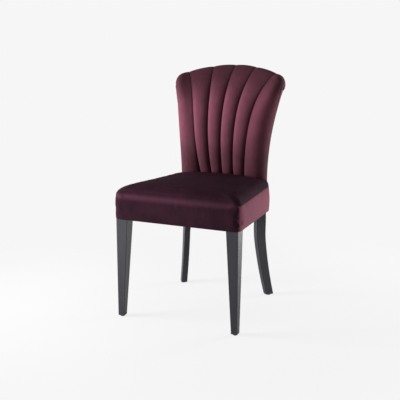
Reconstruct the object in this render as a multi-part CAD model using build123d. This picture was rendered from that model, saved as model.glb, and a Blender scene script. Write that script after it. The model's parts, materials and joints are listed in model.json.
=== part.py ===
from build123d import *
import math
import os

# Upholstered dining chair in millimetres, +Z up, front facing -Y.
# While it is drawn, y = 0 is the front face of the front legs and z = 0 is the floor.
# At the end everything moves along Y so that the origin is on the floor under the middle.

# Front legs
LEG_SPAN = 484.0
LEG_TOP = 46.0
LEG_FOOT = 24.0
LEG_ARRIS = 1.5
LEG_CHAMFER = 1.5
GLIDE_D = 17.0
GLIDE_H = 4.0
GLIDE_NAIL_D = 3.0
GLIDE_NAIL_L = 14.0

# Seat block, over the cover
SEAT_FRONT = -7.5
SEAT_REAR = 495.0
SEAT_SIDE_LAP = 9.5
SEAT_HALF_FRONT = LEG_SPAN / 2 + SEAT_SIDE_LAP
SEAT_HALF_REAR = 200.0
SEAT_UNDERSIDE = 378.0
SEAT_UNDERSIDE_TILT = 2.8
SEAT_EDGE = 497.0
SEAT_EDGE_ROLL = 30.0
SEAT_BELLY = 2.5
SEAT_TOP = 506.0
SEAT_FLAT_INSET = 165.0
SEAT_FRONT_CORNER = 24.0
SEAT_REAR_CORNER = 70.0
COVER = 2.0
COVER_HEM = 24.0

# Seat frame
RAIL_T = 20.0
RAIL_TOP = 446.0
RAIL_SETBACK = 8.0
SIDE_RAIL_REAR_HALF = 184.0
REAR_RAIL_FRONT = 458.0
DOWEL_D = 8.0
DOWEL_L = 40.0
SCREW_D = 4.0
SCREW_HEAD_D = 8.0
SCREW_L = 34.0
BOLT_D = 8.0
BOLT_L = 52.0
BOLT_HEAD_D = 14.0
BOLT_HEAD_H = 5.0
BLOCK_H = 30.0
BLOCK_T = 24.0

# Rear leg and back post, one piece each
REAR_KNEE_Z = 430.0
REAR_LEG_X = 156.0
REAR_LEG_Y = 448.0
REAR_SPLAY_X = 37.5
REAR_SPLAY_Y = 41.0
REAR_LEG_YAW = 44.0
REAR_TOP_W = 28.0
REAR_TOP_D = 42.0
REAR_FOOT_W = 24.5
REAR_FOOT_D = 33.0
REAR_FREE_Z = 350.0
REAR_FREE_RUN = 115.0
REAR_LEG_STEPS = 30
REAR_FREE_SET = 18.0
REAR_FREE_YAW = 35.0
REAR_FREE_W = 25.2
REAR_FREE_D = 49.4
POST_W = 25.0
POST_D = 30.0
POST_YAW = 8.0
POST_INSET = 34.0
POST_BEHIND = 2.0
POST_BLEND = 84.0
POST_TOP = 838.0
POST_TIP_CUT = 8.0
POST_TIP_Z = 770.0

# Inside back: a reference surface runs through the sewn seams
BACK_BOTTOM = 462.0
BELLY_Z = 638.0
BELLY_Y = 411.0
LOW_R = 450.0
HIGH_R = 345.0
PLAN_R = 1100.0
CREST_Z = 917.0
CREST_ARCH_R = 560.0
CREST_ROLL_R = 32.0
CREST_ROLL_END = 172.0
FAN_FOOT_Z = 500.0
FAN_FOOT = 95.0
FAN_LEAN = 40.0
FAN_FLARE = 42.0
SEAM_GAP = 1.0
CHANNEL_BULGE = 13.0
CREST_BULGE = 4.5
CHANNEL_DEPTH = 14.0
PAD = 13.0
CLEAR = 0.25

# Side edge of the back
EDGE_FOOT_Z = 490.0
EDGE_TOP_Z = 868.0
EDGE_FOOT_HALF = 184.0
EDGE_SPREAD = 51.0
EDGE_BULGE = 28.0
EDGE_CREST_BULGE = 6.0
EDGE_ROLL_HOLD = 0.6
EDGE_FOOT_Y = 450.0
EDGE_SWEEP = 46.0

# Outside back
OUTSIDE_Y = 492.0
OUTSIDE_BEND_Z = 600.0
OUTSIDE_R = 391.0
OUTSIDE_CORNER = 30.0
OUTSIDE_TOP = 862.0
OUTSIDE_ARCH_R = 700.0
LOWER_RAIL_Z = 525.0
LOWER_RAIL_H = 44.0

# Inside of the seat and back
WEB_W = 50.0
WEB_T = 1.5
PLATFORM_T = 1.0
PANEL_T = 4.0
DUST_T = 1.0

SIDES = {"left": -1, "right": 1}
SURFACE_STEPS = (0.0, 0.1, 0.22, 0.36, 0.5, 0.63, 0.75, 0.86, 0.94, 1.0)
ROLL_STEPS = (0.22, 0.45, 0.7, 1.0)


# Small helpers


def line(a, b):
    """Straight edge between two points of a plane."""
    return Edge.make_line(a, b)


def arc(a, via, b):
    """Circular edge through three points of a plane."""
    return Edge.make_three_point_arc(a, via, b)


def wire_on(plane, edges):
    """Closed wire of flat edges, set on a plane."""
    return Wire([plane.from_local_coords(edge) for edge in edges])


def polygon_edges(points):
    """Straight edges round a list of points."""
    pairs = zip(points, points[1:] + points[:1])
    return [line((*a, 0), (*b, 0)) for a, b in pairs]


def prism(points, z_low, z_high):
    """Upright solid over a plan outline."""
    face = Face(wire_on(Plane.XY.offset(z_low), polygon_edges(points)))
    return extrude(face, z_high - z_low, dir=(0, 0, 1))


def rod(start, direction, diameter, length):
    """Round bar from a point along a direction."""
    plane = Plane(origin=start, z_dir=direction)
    return Solid.make_cylinder(diameter / 2, length, plane)


def mirrored(shape):
    """The same shape on the other side of the chair."""
    return mirror(shape, about=Plane.YZ)


def for_side(shape, side):
    """A shape drawn on the right side, or its mirror image."""
    return shape if side > 0 else mirrored(shape)


def group(solids):
    """Several like pieces kept as one node."""
    return Compound([solid for shape in solids for solid in shape.solids()])


# Seat plan


def seat_half(y):
    """Half width of the seat cover at a depth."""
    share = (y - SEAT_FRONT) / (SEAT_REAR - SEAT_FRONT)
    return SEAT_HALF_FRONT + (SEAT_HALF_REAR - SEAT_HALF_FRONT) * share


def rail_half(y):
    """Outer face of the side rails at a depth."""
    front = LEG_SPAN / 2 - RAIL_SETBACK
    share = (y - LEG_TOP) / (REAR_LEG_Y - LEG_TOP)
    return front + (SIDE_RAIL_REAR_HALF - front) * share


def underside(y):
    """Height of the seat's sloping underside at a depth."""
    return SEAT_UNDERSIDE - y * math.tan(math.radians(SEAT_UNDERSIDE_TILT))


def seat_plane(z, tilt):
    """Plane of one seat section, tipped back about the front edge."""
    return Plane(origin=(0, 0, z)).rotated((-tilt, 0, 0))


def seat_section(plane, inset):
    """Rounded trapezium, drawn in by an inset, on a plane."""
    slope = (SEAT_HALF_FRONT - SEAT_HALF_REAR) / (SEAT_REAR - SEAT_FRONT)
    lean = math.atan(slope)
    front = SEAT_FRONT + inset
    rear = SEAT_REAR - inset
    side_inset = inset / math.cos(lean)
    half_front = seat_half(front) - side_inset
    half_rear = seat_half(rear) - side_inset
    front_corner = max(SEAT_FRONT_CORNER - inset, 9.0)
    rear_corner = max(SEAT_REAR_CORNER - inset, 24.0)
    front_turn = math.radians(90) - lean
    rear_turn = math.radians(90) + lean
    f_cut = front_corner * math.tan((math.pi - rear_turn) / 2)
    r_cut = rear_corner * math.tan((math.pi - front_turn) / 2)
    side = (-math.sin(lean), math.cos(lean))
    edges = []
    fr = (half_front, front)
    rr = (half_rear, rear)
    f_start = (fr[0] - f_cut, front)
    f_end = (fr[0] + side[0] * f_cut, fr[1] + side[1] * f_cut)
    r_start = (rr[0] - side[0] * r_cut, rr[1] - side[1] * r_cut)
    r_end = (rr[0] - r_cut, rear)

    def corner_mid(centre, corner, radius):
        away = Vector(*corner, 0) - Vector(*centre, 0)
        point = Vector(*centre, 0) + away.normalized() * radius
        return (point.X, point.Y)

    f_centre = (f_start[0], front + front_corner)
    r_centre = (r_end[0], rear - rear_corner)
    f_mid = corner_mid(f_centre, fr, front_corner)
    r_mid = corner_mid(r_centre, rr, rear_corner)

    def at(point, sign=1):
        return (sign * point[0], point[1], 0)

    edges.append(line(at(f_start, -1), at(f_start)))
    edges.append(arc(at(f_start), at(f_mid), at(f_end)))
    edges.append(line(at(f_end), at(r_start)))
    edges.append(arc(at(r_start), at(r_mid), at(r_end)))
    edges.append(line(at(r_end), at(r_end, -1)))
    edges.append(arc(at(r_end, -1), at(r_mid, -1), at(r_start, -1)))
    edges.append(line(at(r_start, -1), at(f_end, -1)))
    edges.append(arc(at(f_end, -1), at(f_mid, -1), at(f_start, -1)))
    return wire_on(plane, edges)


def seat_levels():
    """Height and inset of the seat's sections: tucked foot, slight belly, rolled edge, crown."""
    roll_z = SEAT_EDGE - SEAT_EDGE_ROLL
    levels = [(0.0, 5.0), (1.5, 2.4), (5.0, 0.4)]
    wall = roll_z - SEAT_UNDERSIDE
    for share in (0.25, 0.5, 0.75):
        levels.append((wall * share, -SEAT_BELLY * math.sin(math.pi * share)))
    for turn in (0, 22, 44, 64, 80):
        angle = math.radians(turn)
        rise = wall + SEAT_EDGE_ROLL * math.sin(angle)
        levels.append((rise, SEAT_EDGE_ROLL * (1 - math.cos(angle))))
    start_z, start_in = levels[-1]
    for share in (0.14, 0.3, 0.5, 0.72, 1.0):
        rise = start_z + (SEAT_TOP - SEAT_UNDERSIDE - start_z) * (1 - (1 - share) ** 2)
        levels.append((rise, start_in + (SEAT_FLAT_INSET - start_in) * share))
    return levels


def seat_form(shrink):
    """Crowned seat block, drawn in all round by a shrink."""
    height = SEAT_TOP - SEAT_UNDERSIDE
    sections = []
    for rise, inset in seat_levels():
        share = rise / height
        z = SEAT_UNDERSIDE + shrink + (height - 2 * shrink) * share
        tilt = SEAT_UNDERSIDE_TILT * (1 - 0.6 * share)
        sections.append(seat_section(seat_plane(z, tilt), inset + shrink))
    return Solid.make_loft(sections, ruled=True)


def back_notch(grow):
    """Room at the rear of the seat block where the back stands, grown by a margin."""
    half = EDGE_FOOT_HALF + 4.0 + grow
    low = filling_floor() - grow
    high = SEAT_TOP + 40
    front = BELLY_Y + 4.0 - grow
    behind = SEAT_REAR + 60
    middle = prism([(-120, front), (120, front), (120, behind), (-120, behind)], low, high)
    edge = edge_point(SEAT_TOP)
    rear = prism([(-half, edge.Y), (half, edge.Y), (half, behind), (-half, behind)], low, high)
    seam = seam_at(1.0, BACK_BOTTOM)
    radius = (half - seam.X) / 2 + 3.0
    wing = rod((half - radius, edge.Y, low), (0, 0, 1), 2 * radius, high - low)
    return middle + rear + wing + mirrored(wing)


def filling_floor():
    """Height of the top of the webbing and platform cloth."""
    return RAIL_TOP + 2 * WEB_T + PLATFORM_T


def frame_outline(grow):
    """Plan outline over the legs and rails."""
    rear = REAR_RAIL_FRONT + RAIL_T
    leg = rear_leg_frame(0)
    corner = leg.origin + leg.y_dir * (REAR_TOP_D / 2 + 2.2)
    run = leg.x_dir
    lean = rail_half(1) - rail_half(0)
    side = corner + run * ((rail_half(corner.Y) - corner.X) / (run.X - lean * run.Y))
    back = corner + run * ((rear - corner.Y) / run.Y)
    right = [
        (LEG_SPAN / 2 + grow, -grow),
        (LEG_SPAN / 2 + grow, LEG_TOP + grow),
        (rail_half(LEG_TOP) + grow, LEG_TOP + grow),
        (side.X + grow, side.Y),
        (back.X, back.Y + grow),
    ]
    return right + [(-x, y) for x, y in reversed(right)]


def rear_leg_frame(z):
    """Plane in the rear leg at the seat: x along its front face, y outwards to the rear."""
    return Plane(origin=(REAR_LEG_X, REAR_LEG_Y, z)).rotated((0, 0, -REAR_LEG_YAW))


# Legs


def front_leg():
    """Right front leg: outer faces upright, inner faces tapered."""
    outer = LEG_SPAN / 2
    levels = (
        (GLIDE_H, LEG_FOOT, LEG_FOOT - 2 * LEG_CHAMFER),
        (GLIDE_H + LEG_CHAMFER, LEG_FOOT, LEG_FOOT),
        (SEAT_UNDERSIDE, LEG_TOP, LEG_TOP),
        (RAIL_TOP, LEG_TOP, LEG_TOP),
    )
    sections = []
    for z, place, width in levels:
        plane = Plane(origin=(outer - place / 2, place / 2, z))
        sections.append((plane * RectangleRounded(width, width, LEG_ARRIS)).wire())
    leg = Solid.make_loft(sections, ruled=True)
    return leg - glide_nail(front_foot())


def front_foot():
    """Middle of the right front foot, on the floor."""
    return (LEG_SPAN / 2 - LEG_FOOT / 2, LEG_FOOT / 2, 0)


def rear_foot():
    """Middle of the right rear foot, on the floor."""
    x, y = rear_centre(GLIDE_H)[:2]
    return (x, y, 0)


def edge_share(z):
    """Share of the way up the side edge of the back."""
    return max((z - EDGE_FOOT_Z) / (EDGE_TOP_Z - EDGE_FOOT_Z), 0.0)


def edge_point(z):
    """Outermost point of the right side edge of the back."""
    share = edge_share(z)
    x = EDGE_FOOT_HALF + EDGE_SPREAD * share**1.7
    y = EDGE_FOOT_Y + EDGE_SWEEP * share**2.4
    return Vector(x, y, z)


def rear_centre(z):
    """Centre of the rear leg or back post: x, y, width, depth and yaw at a height."""
    drop = max((REAR_KNEE_Z - z) / REAR_KNEE_Z, 0.0)
    blend = min(max((z - RAIL_TOP) / POST_BLEND, 0.0), 1.0)
    blend = blend * blend * (3 - 2 * blend)
    edge = edge_point(z)
    free = min(max((REAR_FREE_Z - z) / REAR_FREE_RUN, 0.0), 1.0)
    free = free * free * (3 - 2 * free)
    x = REAR_LEG_X + REAR_SPLAY_X * drop**2 + (edge.X - POST_INSET - REAR_LEG_X) * blend
    y = REAR_LEG_Y + REAR_SPLAY_Y * drop**2 + (edge.Y + POST_BEHIND - REAR_LEG_Y) * blend
    y -= REAR_FREE_SET * free
    free_width = REAR_FREE_W + (REAR_FOOT_W - REAR_FREE_W) * drop
    free_depth = REAR_FREE_D + (REAR_FOOT_D - REAR_FREE_D) * drop
    width = REAR_TOP_W + (POST_W - REAR_TOP_W) * blend + (free_width - REAR_TOP_W) * free
    depth = REAR_TOP_D + (POST_D - REAR_TOP_D) * blend + (free_depth - REAR_TOP_D) * free
    yaw = REAR_LEG_YAW + (POST_YAW - REAR_LEG_YAW) * blend + (REAR_FREE_YAW - REAR_LEG_YAW) * free
    tip = max((z - POST_TIP_Z) / (POST_TOP - POST_TIP_Z), 0.0)
    cut = POST_TIP_CUT * tip
    return x, y + cut / 2, width - cut, depth - cut, yaw


def rear_section(z, side):
    """Section of the rear leg or back post of one side at a height."""
    x, y, width, depth, yaw = rear_centre(z)
    plane = Plane(origin=(side * x, y, z)).rotated((0, 0, -side * yaw))
    return (plane * RectangleRounded(width, depth, 3.0)).wire()


def rear_leg(side):
    """Rear leg of one side: a sabre leg that runs on up as the back post."""
    rise = (REAR_FREE_Z - GLIDE_H) / REAR_LEG_STEPS
    low = [GLIDE_H + rise * step for step in range(REAR_LEG_STEPS + 1)]
    knee = [378, REAR_KNEE_Z, RAIL_TOP]
    high = [466, 488, 510, RAIL_TOP + POST_BLEND, 600, 670, 740, 795, POST_TOP]
    leg = Solid.make_loft([rear_section(z, side) for z in low + knee + high], ruled=True)
    return leg - for_side(glide_nail(rear_foot()), side)


def leg_in_back():
    """Room for the rear leg where it turns into the back post."""
    block = Box(
        REAR_TOP_W + 1,
        REAR_TOP_D + 1,
        POST_BLEND + 14,
        align=(Align.CENTER, Align.CENTER, Align.MIN),
    )
    return rear_leg_frame(RAIL_TOP) * block


def glide_nail(foot):
    """Nail of a glide, standing in the foot."""
    return rod((foot[0], foot[1], GLIDE_H), (0, 0, 1), GLIDE_NAIL_D, GLIDE_NAIL_L)


def glide(foot):
    """Nail-on glide: a domed disc with a nail."""
    disc = Solid.make_cylinder(GLIDE_D / 2, GLIDE_H, Plane(origin=foot))
    rim = disc.edges().filter_by(GeomType.CIRCLE).sort_by(Axis.Z)[0]
    return chamfer(rim, 1.0) + glide_nail(foot)


# Seat frame


def front_rail():
    """Rail between the front legs."""
    half = LEG_SPAN / 2 - LEG_TOP
    y_front = RAIL_SETBACK
    points = [(-half, y_front), (half, y_front), (half, y_front + RAIL_T), (-half, y_front + RAIL_T)]
    return prism(points, underside(0) + COVER + CLEAR, RAIL_TOP)


def side_rail():
    """Right side rail, deeper towards the rear, ending on the rear leg."""
    far = REAR_RAIL_FRONT + RAIL_T
    outer = [(rail_half(LEG_TOP), LEG_TOP), (rail_half(far), far)]
    inner = [(x - RAIL_T, y) for x, y in reversed(outer)]
    rail = prism(outer + inner, underside(far), RAIL_TOP)
    return rail - under_seat_cut() - beside_rear_leg(-1)


def rear_rail():
    """Rail between the rear legs."""
    near = REAR_RAIL_FRONT
    far = REAR_RAIL_FRONT + RAIL_T
    points = [(-190, near), (190, near), (190, far), (-190, far)]
    rail = prism(points, underside(far), RAIL_TOP) - under_seat_cut()
    return rail - beside_rear_leg(1) - mirrored(beside_rear_leg(1))


def beside_rear_leg(side):
    """Everything from the leg's face on one side across to the other side, and past its rear."""
    plane = rear_leg_frame(SEAT_UNDERSIDE)
    face = REAR_TOP_W / 2 + CLEAR
    room = Pos(side * (300 - face), 0, 0) * Box(600, 900, 400)
    behind = Pos(0, REAR_TOP_D / 2 + 197, 0) * Box(900, 400, 400)
    return plane * (room + behind)


def under_seat_cut():
    """Everything below the inside of the cover's hem."""
    lift = COVER + 2 * CLEAR
    plane = seat_plane(SEAT_UNDERSIDE + lift, SEAT_UNDERSIDE_TILT)
    block = Box(700, 1400, 200, align=(Align.CENTER, Align.CENTER, Align.MAX))
    return plane * block


def corner_block():
    """Right front corner block, notched round the leg."""
    front = RAIL_SETBACK + RAIL_T
    notch_x = LEG_SPAN / 2 - LEG_TOP - 10
    notch_y = LEG_TOP + 10
    far_y = notch_y + 52
    points = [
        (notch_x - 54, front),
        (notch_x, front),
        (notch_x, notch_y),
        (rail_half(notch_y) - RAIL_T, notch_y),
        (rail_half(far_y) - RAIL_T, far_y),
    ]
    return prism(points, RAIL_TOP - 10 - BLOCK_H, RAIL_TOP - 10)


def rear_corner_block():
    """Right rear corner block, across the corner on the inner face of the rear leg."""
    plane = rear_leg_frame(RAIL_TOP - 10 - BLOCK_H)
    near = -REAR_TOP_D / 2
    points = [(-60, near), (60, near), (60, near - BLOCK_T), (-60, near - BLOCK_T)]
    face = Face(wire_on(plane, polygon_edges(points)))
    block = extrude(face, BLOCK_H, dir=(0, 0, 1))
    rear_room = prism([(0, REAR_RAIL_FRONT), (300, REAR_RAIL_FRONT), (300, 700), (0, 700)], 300, 500)
    a = rail_half(300) - RAIL_T
    b = rail_half(600) - RAIL_T
    side_room = prism([(a, 300), (a + 200, 300), (b + 200, 600), (b, 600)], 300, 500)
    return block - rear_room - side_room


def rear_leg_room():
    """Rear leg drawn a hair larger, to cut its neighbours."""
    plane = rear_leg_frame(RAIL_TOP - 130)
    margin = 2.5
    foot = Box(
        REAR_TOP_W + 2 * margin,
        REAR_TOP_D + 2 * margin,
        48,
        align=(Align.CENTER, Align.CENTER, Align.MIN),
    )
    return plane * (Pos(0, 2, 0) * foot)


def block_screws():
    """Screws of the right front corner block: where each head sits and which way it goes."""
    z = RAIL_TOP - 10 - BLOCK_H / 2
    notch_x = LEG_SPAN / 2 - LEG_TOP - 10
    notch_y = LEG_TOP + 10
    return [
        ((notch_x - 24, RAIL_SETBACK + RAIL_T + 20, z), (0, -1, 0)),
        ((rail_half(notch_y + 24) - RAIL_T - 20, notch_y + 20, z), (1, 0, 0)),
    ]


def screw(start, direction):
    """Round-headed wood screw."""
    head = rod(Vector(*start) - Vector(*direction) * 3, direction, SCREW_HEAD_D, 3)
    return head + rod(start, direction, SCREW_D, SCREW_L)


def screw_hole(start, direction):
    """Hole and head room for a screw."""
    head = rod(Vector(*start) - Vector(*direction) * 60, direction, SCREW_HEAD_D + 1, 60)
    return head + rod(start, direction, SCREW_D, SCREW_L)


def seat_dowels():
    """Dowels of the right half of the seat frame: start point and direction."""
    half = LEG_SPAN / 2 - LEG_TOP
    front_y = RAIL_SETBACK + RAIL_T / 2
    along = (Vector(rail_half(200), 200, 0) - Vector(rail_half(100), 100, 0)).normalized()
    side_x = rail_half(LEG_TOP) - RAIL_T / 2
    leg = rear_leg_frame(0)
    rear_y = REAR_RAIL_FRONT + RAIL_T / 2 - 3.5
    face = leg.origin - leg.x_dir * (REAR_TOP_W / 2)
    rear_x = face.X + leg.y_dir.X / leg.y_dir.Y * (rear_y - face.Y)
    side_y = REAR_LEG_Y - 6.0
    end_x = rail_half(side_y) - RAIL_T / 2 - 3.0
    places = []
    for z in (RAIL_TOP - 18, RAIL_TOP - 46):
        places.append(((half - DOWEL_L / 2, front_y, z), (1, 0, 0)))
        start = Vector(side_x, LEG_TOP, z - 6) - along * (DOWEL_L / 2 - 6)
        places.append((tuple(start), tuple(along)))
        places.append(((rear_x - DOWEL_L + 5, rear_y, z), (1, 0, 0)))
        start = Vector(end_x, side_y, z - 6) - along * (DOWEL_L - 8)
        places.append((tuple(start), tuple(along)))
    return places


def back_dowels():
    """Dowels of the right half of the back rails: start point and direction."""
    x, y, width = rear_centre(LOWER_RAIL_Z)[:3]
    start_x = x - width / 2 - 24
    rail_y = lower_rail_front() + RAIL_T / 2
    places = []
    for z in (LOWER_RAIL_Z - 10, LOWER_RAIL_Z + 10):
        places.append(((start_x, rail_y, z), (1, 0, 0)))
    tip = crest_middle(1.07)
    root_z = POST_TOP - 22
    root = Vector(*rear_centre(root_z)[:2], root_z)
    run = (tip - root).normalized()
    places.append((tuple(tip - run * (DOWEL_L - 4)), tuple(run)))
    return places


def leg_bolts():
    """Bolts from the right rear corner block into the rear leg."""
    leg = rear_leg_frame(0)
    start = leg.origin - leg.y_dir * (REAR_TOP_D / 2 + BLOCK_T)
    z = RAIL_TOP - 10 - BLOCK_H / 2
    return [((start.X, start.Y, z + dz), tuple(leg.y_dir)) for dz in (-7.8, 7.8)]


def bolt(start, direction):
    """Hexagon-headed bolt."""
    plane = Plane(origin=start, z_dir=tuple(-Vector(*direction)))
    head = extrude(plane * RegularPolygon(BOLT_HEAD_D / 2, 6), BOLT_HEAD_H)
    return head + rod(start, direction, BOLT_D, BOLT_L)


def bolt_hole(start, direction):
    """Hole for a bolt."""
    return rod(start, direction, BOLT_D, BOLT_L)


# Inside back


def front_line(z):
    """Depth and slope of the seams' reference line at the middle of the back."""
    radius = HIGH_R if z > BELLY_Z else LOW_R
    rise = z - BELLY_Z
    run = math.sqrt(radius**2 - rise**2)
    return BELLY_Y + radius - run, rise / run


def fan_top(share):
    """Half spread of a seam where it reaches the crest roll."""
    return share * (FAN_FOOT + FAN_LEAN + FAN_FLARE)


def roll_start(share):
    """Height where a seam leaves the front and starts over the crest."""
    crest = CREST_Z - fan_top(share) ** 2 / (2 * CREST_ARCH_R)
    sine = (crest - BELLY_Z - CREST_ROLL_R) / (HIGH_R - CREST_ROLL_R)
    return BELLY_Z + HIGH_R * sine


def seam_at(share, z):
    """Point of a seam at a height; share is -1 to 1 across the fan."""
    way = (z - FAN_FOOT_Z) / (roll_start(share) - FAN_FOOT_Z)
    x = share * (FAN_FOOT + FAN_LEAN * way + FAN_FLARE * way**5)
    return Vector(x, front_line(z)[0] - x**2 / (2 * PLAN_R), z)


def facing(point):
    """Direction square to the reference surface, towards the sitter."""
    slope = front_line(point.Z)[1]
    return Vector(-point.X / PLAN_R, -1, slope).normalized()


def seam_stations(share):
    """Points and facings along a seam, up the front and over the crest."""
    top = roll_start(share)
    stations = []
    for step in SURFACE_STEPS:
        point = seam_at(share, BACK_BOTTOM + (top - BACK_BOTTOM) * step)
        stations.append((point, facing(point)))
    start, out = stations[-1]
    climb = (start - seam_at(share, top - 1.0)).normalized()
    climb = (climb - out * climb.dot(out)).normalized()
    pivot = start - out * CREST_ROLL_R
    for step in ROLL_STEPS:
        turn = math.radians(CREST_ROLL_END) * step
        away = out * math.cos(turn) + climb * math.sin(turn)
        stations.append((pivot + away * CREST_ROLL_R, away))
    return stations


def section_plane(origin, across, out):
    """Plane of one channel section: x across the channel, y towards the sitter."""
    x_dir = across.normalized()
    return Plane(origin=origin, x_dir=x_dir, z_dir=x_dir.cross(out).normalized())


def slant(plane, out):
    """How far a seam's own facing leans across a section, per unit of depth."""
    return out.dot(plane.x_dir) / out.dot(plane.y_dir)


def channel_bulges():
    """Height of an inner channel over its seams, station by station, lower over the crest."""
    bulges = []
    for step in SURFACE_STEPS:
        fall = max((step - 0.7) / 0.3, 0.0)
        bulges.append(CHANNEL_BULGE + (CREST_BULGE - CHANNEL_BULGE) * fall**2 * (3 - 2 * fall))
    return bulges + [CREST_BULGE] * len(ROLL_STEPS)


def channel_sections(left, right):
    """Section planes, widths, bulges and wall slants of one inner channel between two seams."""
    pairs = zip(seam_stations(left), seam_stations(right), channel_bulges())
    for (a, out_a), (b, out_b), bulge in pairs:
        plane = section_plane(a, b - a, out_a + out_b)
        yield plane, (b - a).length, bulge, slant(plane, out_a), slant(plane, out_b)


def channel_cover(left, right):
    """Velvet of one inner channel, turned down into both seams."""
    sections = []
    low = -CHANNEL_DEPTH
    for plane, width, bulge, lean_a, lean_b in channel_sections(left, right):
        a = SEAM_GAP / 2
        b = width - SEAM_GAP / 2
        low_a = a + lean_a * low
        low_b = b + lean_b * low
        mid = width / 2
        edges = [
            arc((a, 0), (mid, bulge), (b, 0)),
            line((b, 0), (low_b, low)),
            line((low_b, low), (low_b - COVER, low)),
            line((low_b - COVER, low), (b - COVER, -COVER)),
            arc((b - COVER, -COVER), (mid, bulge - COVER), (a + COVER, -COVER)),
            line((a + COVER, -COVER), (low_a + COVER, low)),
            line((low_a + COVER, low), (low_a, low)),
            line((low_a, low), (a, 0)),
        ]
        sections.append(wire_on(plane, edges))
    return Solid.make_loft(sections)


def channel_filling(left, right):
    """Foam of one inner channel, inside its cover."""
    sections = []
    low = -CHANNEL_DEPTH
    skin = COVER + CLEAR
    for plane, width, bulge, lean_a, lean_b in channel_sections(left, right):
        a = SEAM_GAP / 2 + skin
        b = width - SEAM_GAP / 2 - skin
        low_a = a + lean_a * low
        low_b = b + lean_b * low
        edges = [
            arc((a, -skin), (width / 2, bulge - skin), (b, -skin)),
            line((b, -skin), (low_b, low)),
            line((low_b, low), (low_a, low)),
            line((low_a, low), (a, -skin)),
        ]
        sections.append(wire_on(plane, edges))
    return Solid.make_loft(sections)


def edge_sections():
    """Section planes, widths, edge depths, bulges and wall slants of the right outer channel."""
    stations = seam_stations(1.0)
    placed = []
    for step, (seam, out) in zip(SURFACE_STEPS, stations):
        edge = edge_point(BACK_BOTTOM + (EDGE_TOP_Z - 6 - BACK_BOTTOM) * step)
        gap = edge - seam
        across = gap - out * gap.dot(out)
        close = max((step - 0.75) / 0.25, 0.0)
        depth = -gap.dot(out)
        depth = depth + (CREST_ROLL_R - 0.6 - depth) * close
        bulge = EDGE_CREST_BULGE + (EDGE_BULGE - EDGE_CREST_BULGE) * (1 - step) ** 4
        placed.append((section_plane(seam, across, out), across.length, depth, bulge, 0.0))
    width, depth, bulge = placed[-1][1:4]
    across = placed[-1][0].x_dir
    roll_start_seam = stations[len(SURFACE_STEPS) - 1][0]
    for seam, out in stations[len(SURFACE_STEPS):]:
        plane = section_plane(seam, across, out)
        lean_out = (seam - roll_start_seam).dot(across)
        placed.append((plane, width - EDGE_ROLL_HOLD * lean_out, depth, bulge, slant(plane, out)))
    return placed


def edge_turn(width, depth, bulge, inset):
    """Tight arc of the outer channel, from its level shoulder down to the side."""
    radius = depth + bulge
    middle = (width - radius, -depth)
    radius = radius - inset
    slope = radius * math.sqrt(0.5)
    shoulder = (middle[0], middle[1] + radius)
    bend = (middle[0] + slope, middle[1] + slope)
    return shoulder, bend, (middle[0] + radius, middle[1])


def edge_rise(width, depth, bulge, inset, left):
    """Start and middle of the gentle arc that rises from the seam to the level shoulder."""
    shoulder_x = width - depth - bulge
    radius = (shoulder_x**2 + bulge**2) / (2 * bulge)
    low = bulge - radius
    radius = radius - inset
    points = []
    for x in (left, (left + shoulder_x) / 2):
        points.append((x, low + math.sqrt(radius**2 - (x - shoulder_x) ** 2)))
    return points


def edge_cover():
    """Velvet of the right outer channel, from its seam round to the side."""
    sections = []
    low = -CHANNEL_DEPTH
    for plane, width, depth, bulge, lean in edge_sections():
        a = SEAM_GAP / 2
        low_a = a + lean * low
        start, rise = edge_rise(width, depth, bulge, 0, a)
        shoulder, bend, side = edge_turn(width, depth, bulge, 0)
        in_start, in_rise = edge_rise(width, depth, bulge, COVER, a + COVER)
        in_shoulder, in_bend, in_side = edge_turn(width, depth, bulge, COVER)
        edges = [
            arc(start, rise, shoulder),
            arc(shoulder, bend, side),
            line(side, in_side),
            arc(in_side, in_bend, in_shoulder),
            arc(in_shoulder, in_rise, in_start),
            line(in_start, (low_a + COVER, low)),
            line((low_a + COVER, low), (low_a, low)),
            line((low_a, low), start),
        ]
        sections.append(wire_on(plane, edges))
    return Solid.make_loft(sections)


def edge_filling():
    """Foam of the right outer channel, wrapped over the back post."""
    sections = []
    low = -CHANNEL_DEPTH
    skin = COVER + CLEAR
    for plane, width, depth, bulge, lean in edge_sections():
        a = SEAM_GAP / 2 + skin
        low_a = a + lean * low
        start, rise = edge_rise(width, depth, bulge, skin, a)
        shoulder, bend, side = edge_turn(width, depth, bulge, skin)
        in_shoulder, in_bend, in_side = edge_turn(width, depth, bulge, skin + PAD)
        edges = [
            arc(start, rise, shoulder),
            arc(shoulder, bend, side),
            line(side, in_side),
            arc(in_side, in_bend, in_shoulder),
            line(in_shoulder, (low_a, low)),
            line((low_a, low), start),
        ]
        sections.append(wire_on(plane, edges))
    return Solid.make_loft(sections)


def back_panel():
    """Bent plywood behind the fillings."""
    sections = []
    top = roll_start(0)
    half = FAN_FOOT + 22
    for step in (0.0, 0.15, 0.3, 0.45, 0.6, 0.75, 0.86, 0.95):
        z = BACK_BOTTOM + 12 + (top - 12 - BACK_BOTTOM) * step
        middle = Vector(0, front_line(z)[0], z)
        plane = section_plane(middle, Vector(1, 0, 0), facing(middle))
        reach = half + 30 * step**3
        bow = reach**2 / (2 * PLAN_R) * abs(plane.y_dir.Y)
        front = -CHANNEL_DEPTH - 1.4
        rear = front - PANEL_T
        edges = [
            arc((-reach, front + bow), (0, front), (reach, front + bow)),
            line((reach, front + bow), (reach, rear + bow)),
            arc((reach, rear + bow), (0, rear), (-reach, rear + bow)),
            line((-reach, rear + bow), (-reach, front + bow)),
        ]
        sections.append(wire_on(plane, edges))
    return Solid.make_loft(sections)


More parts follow.
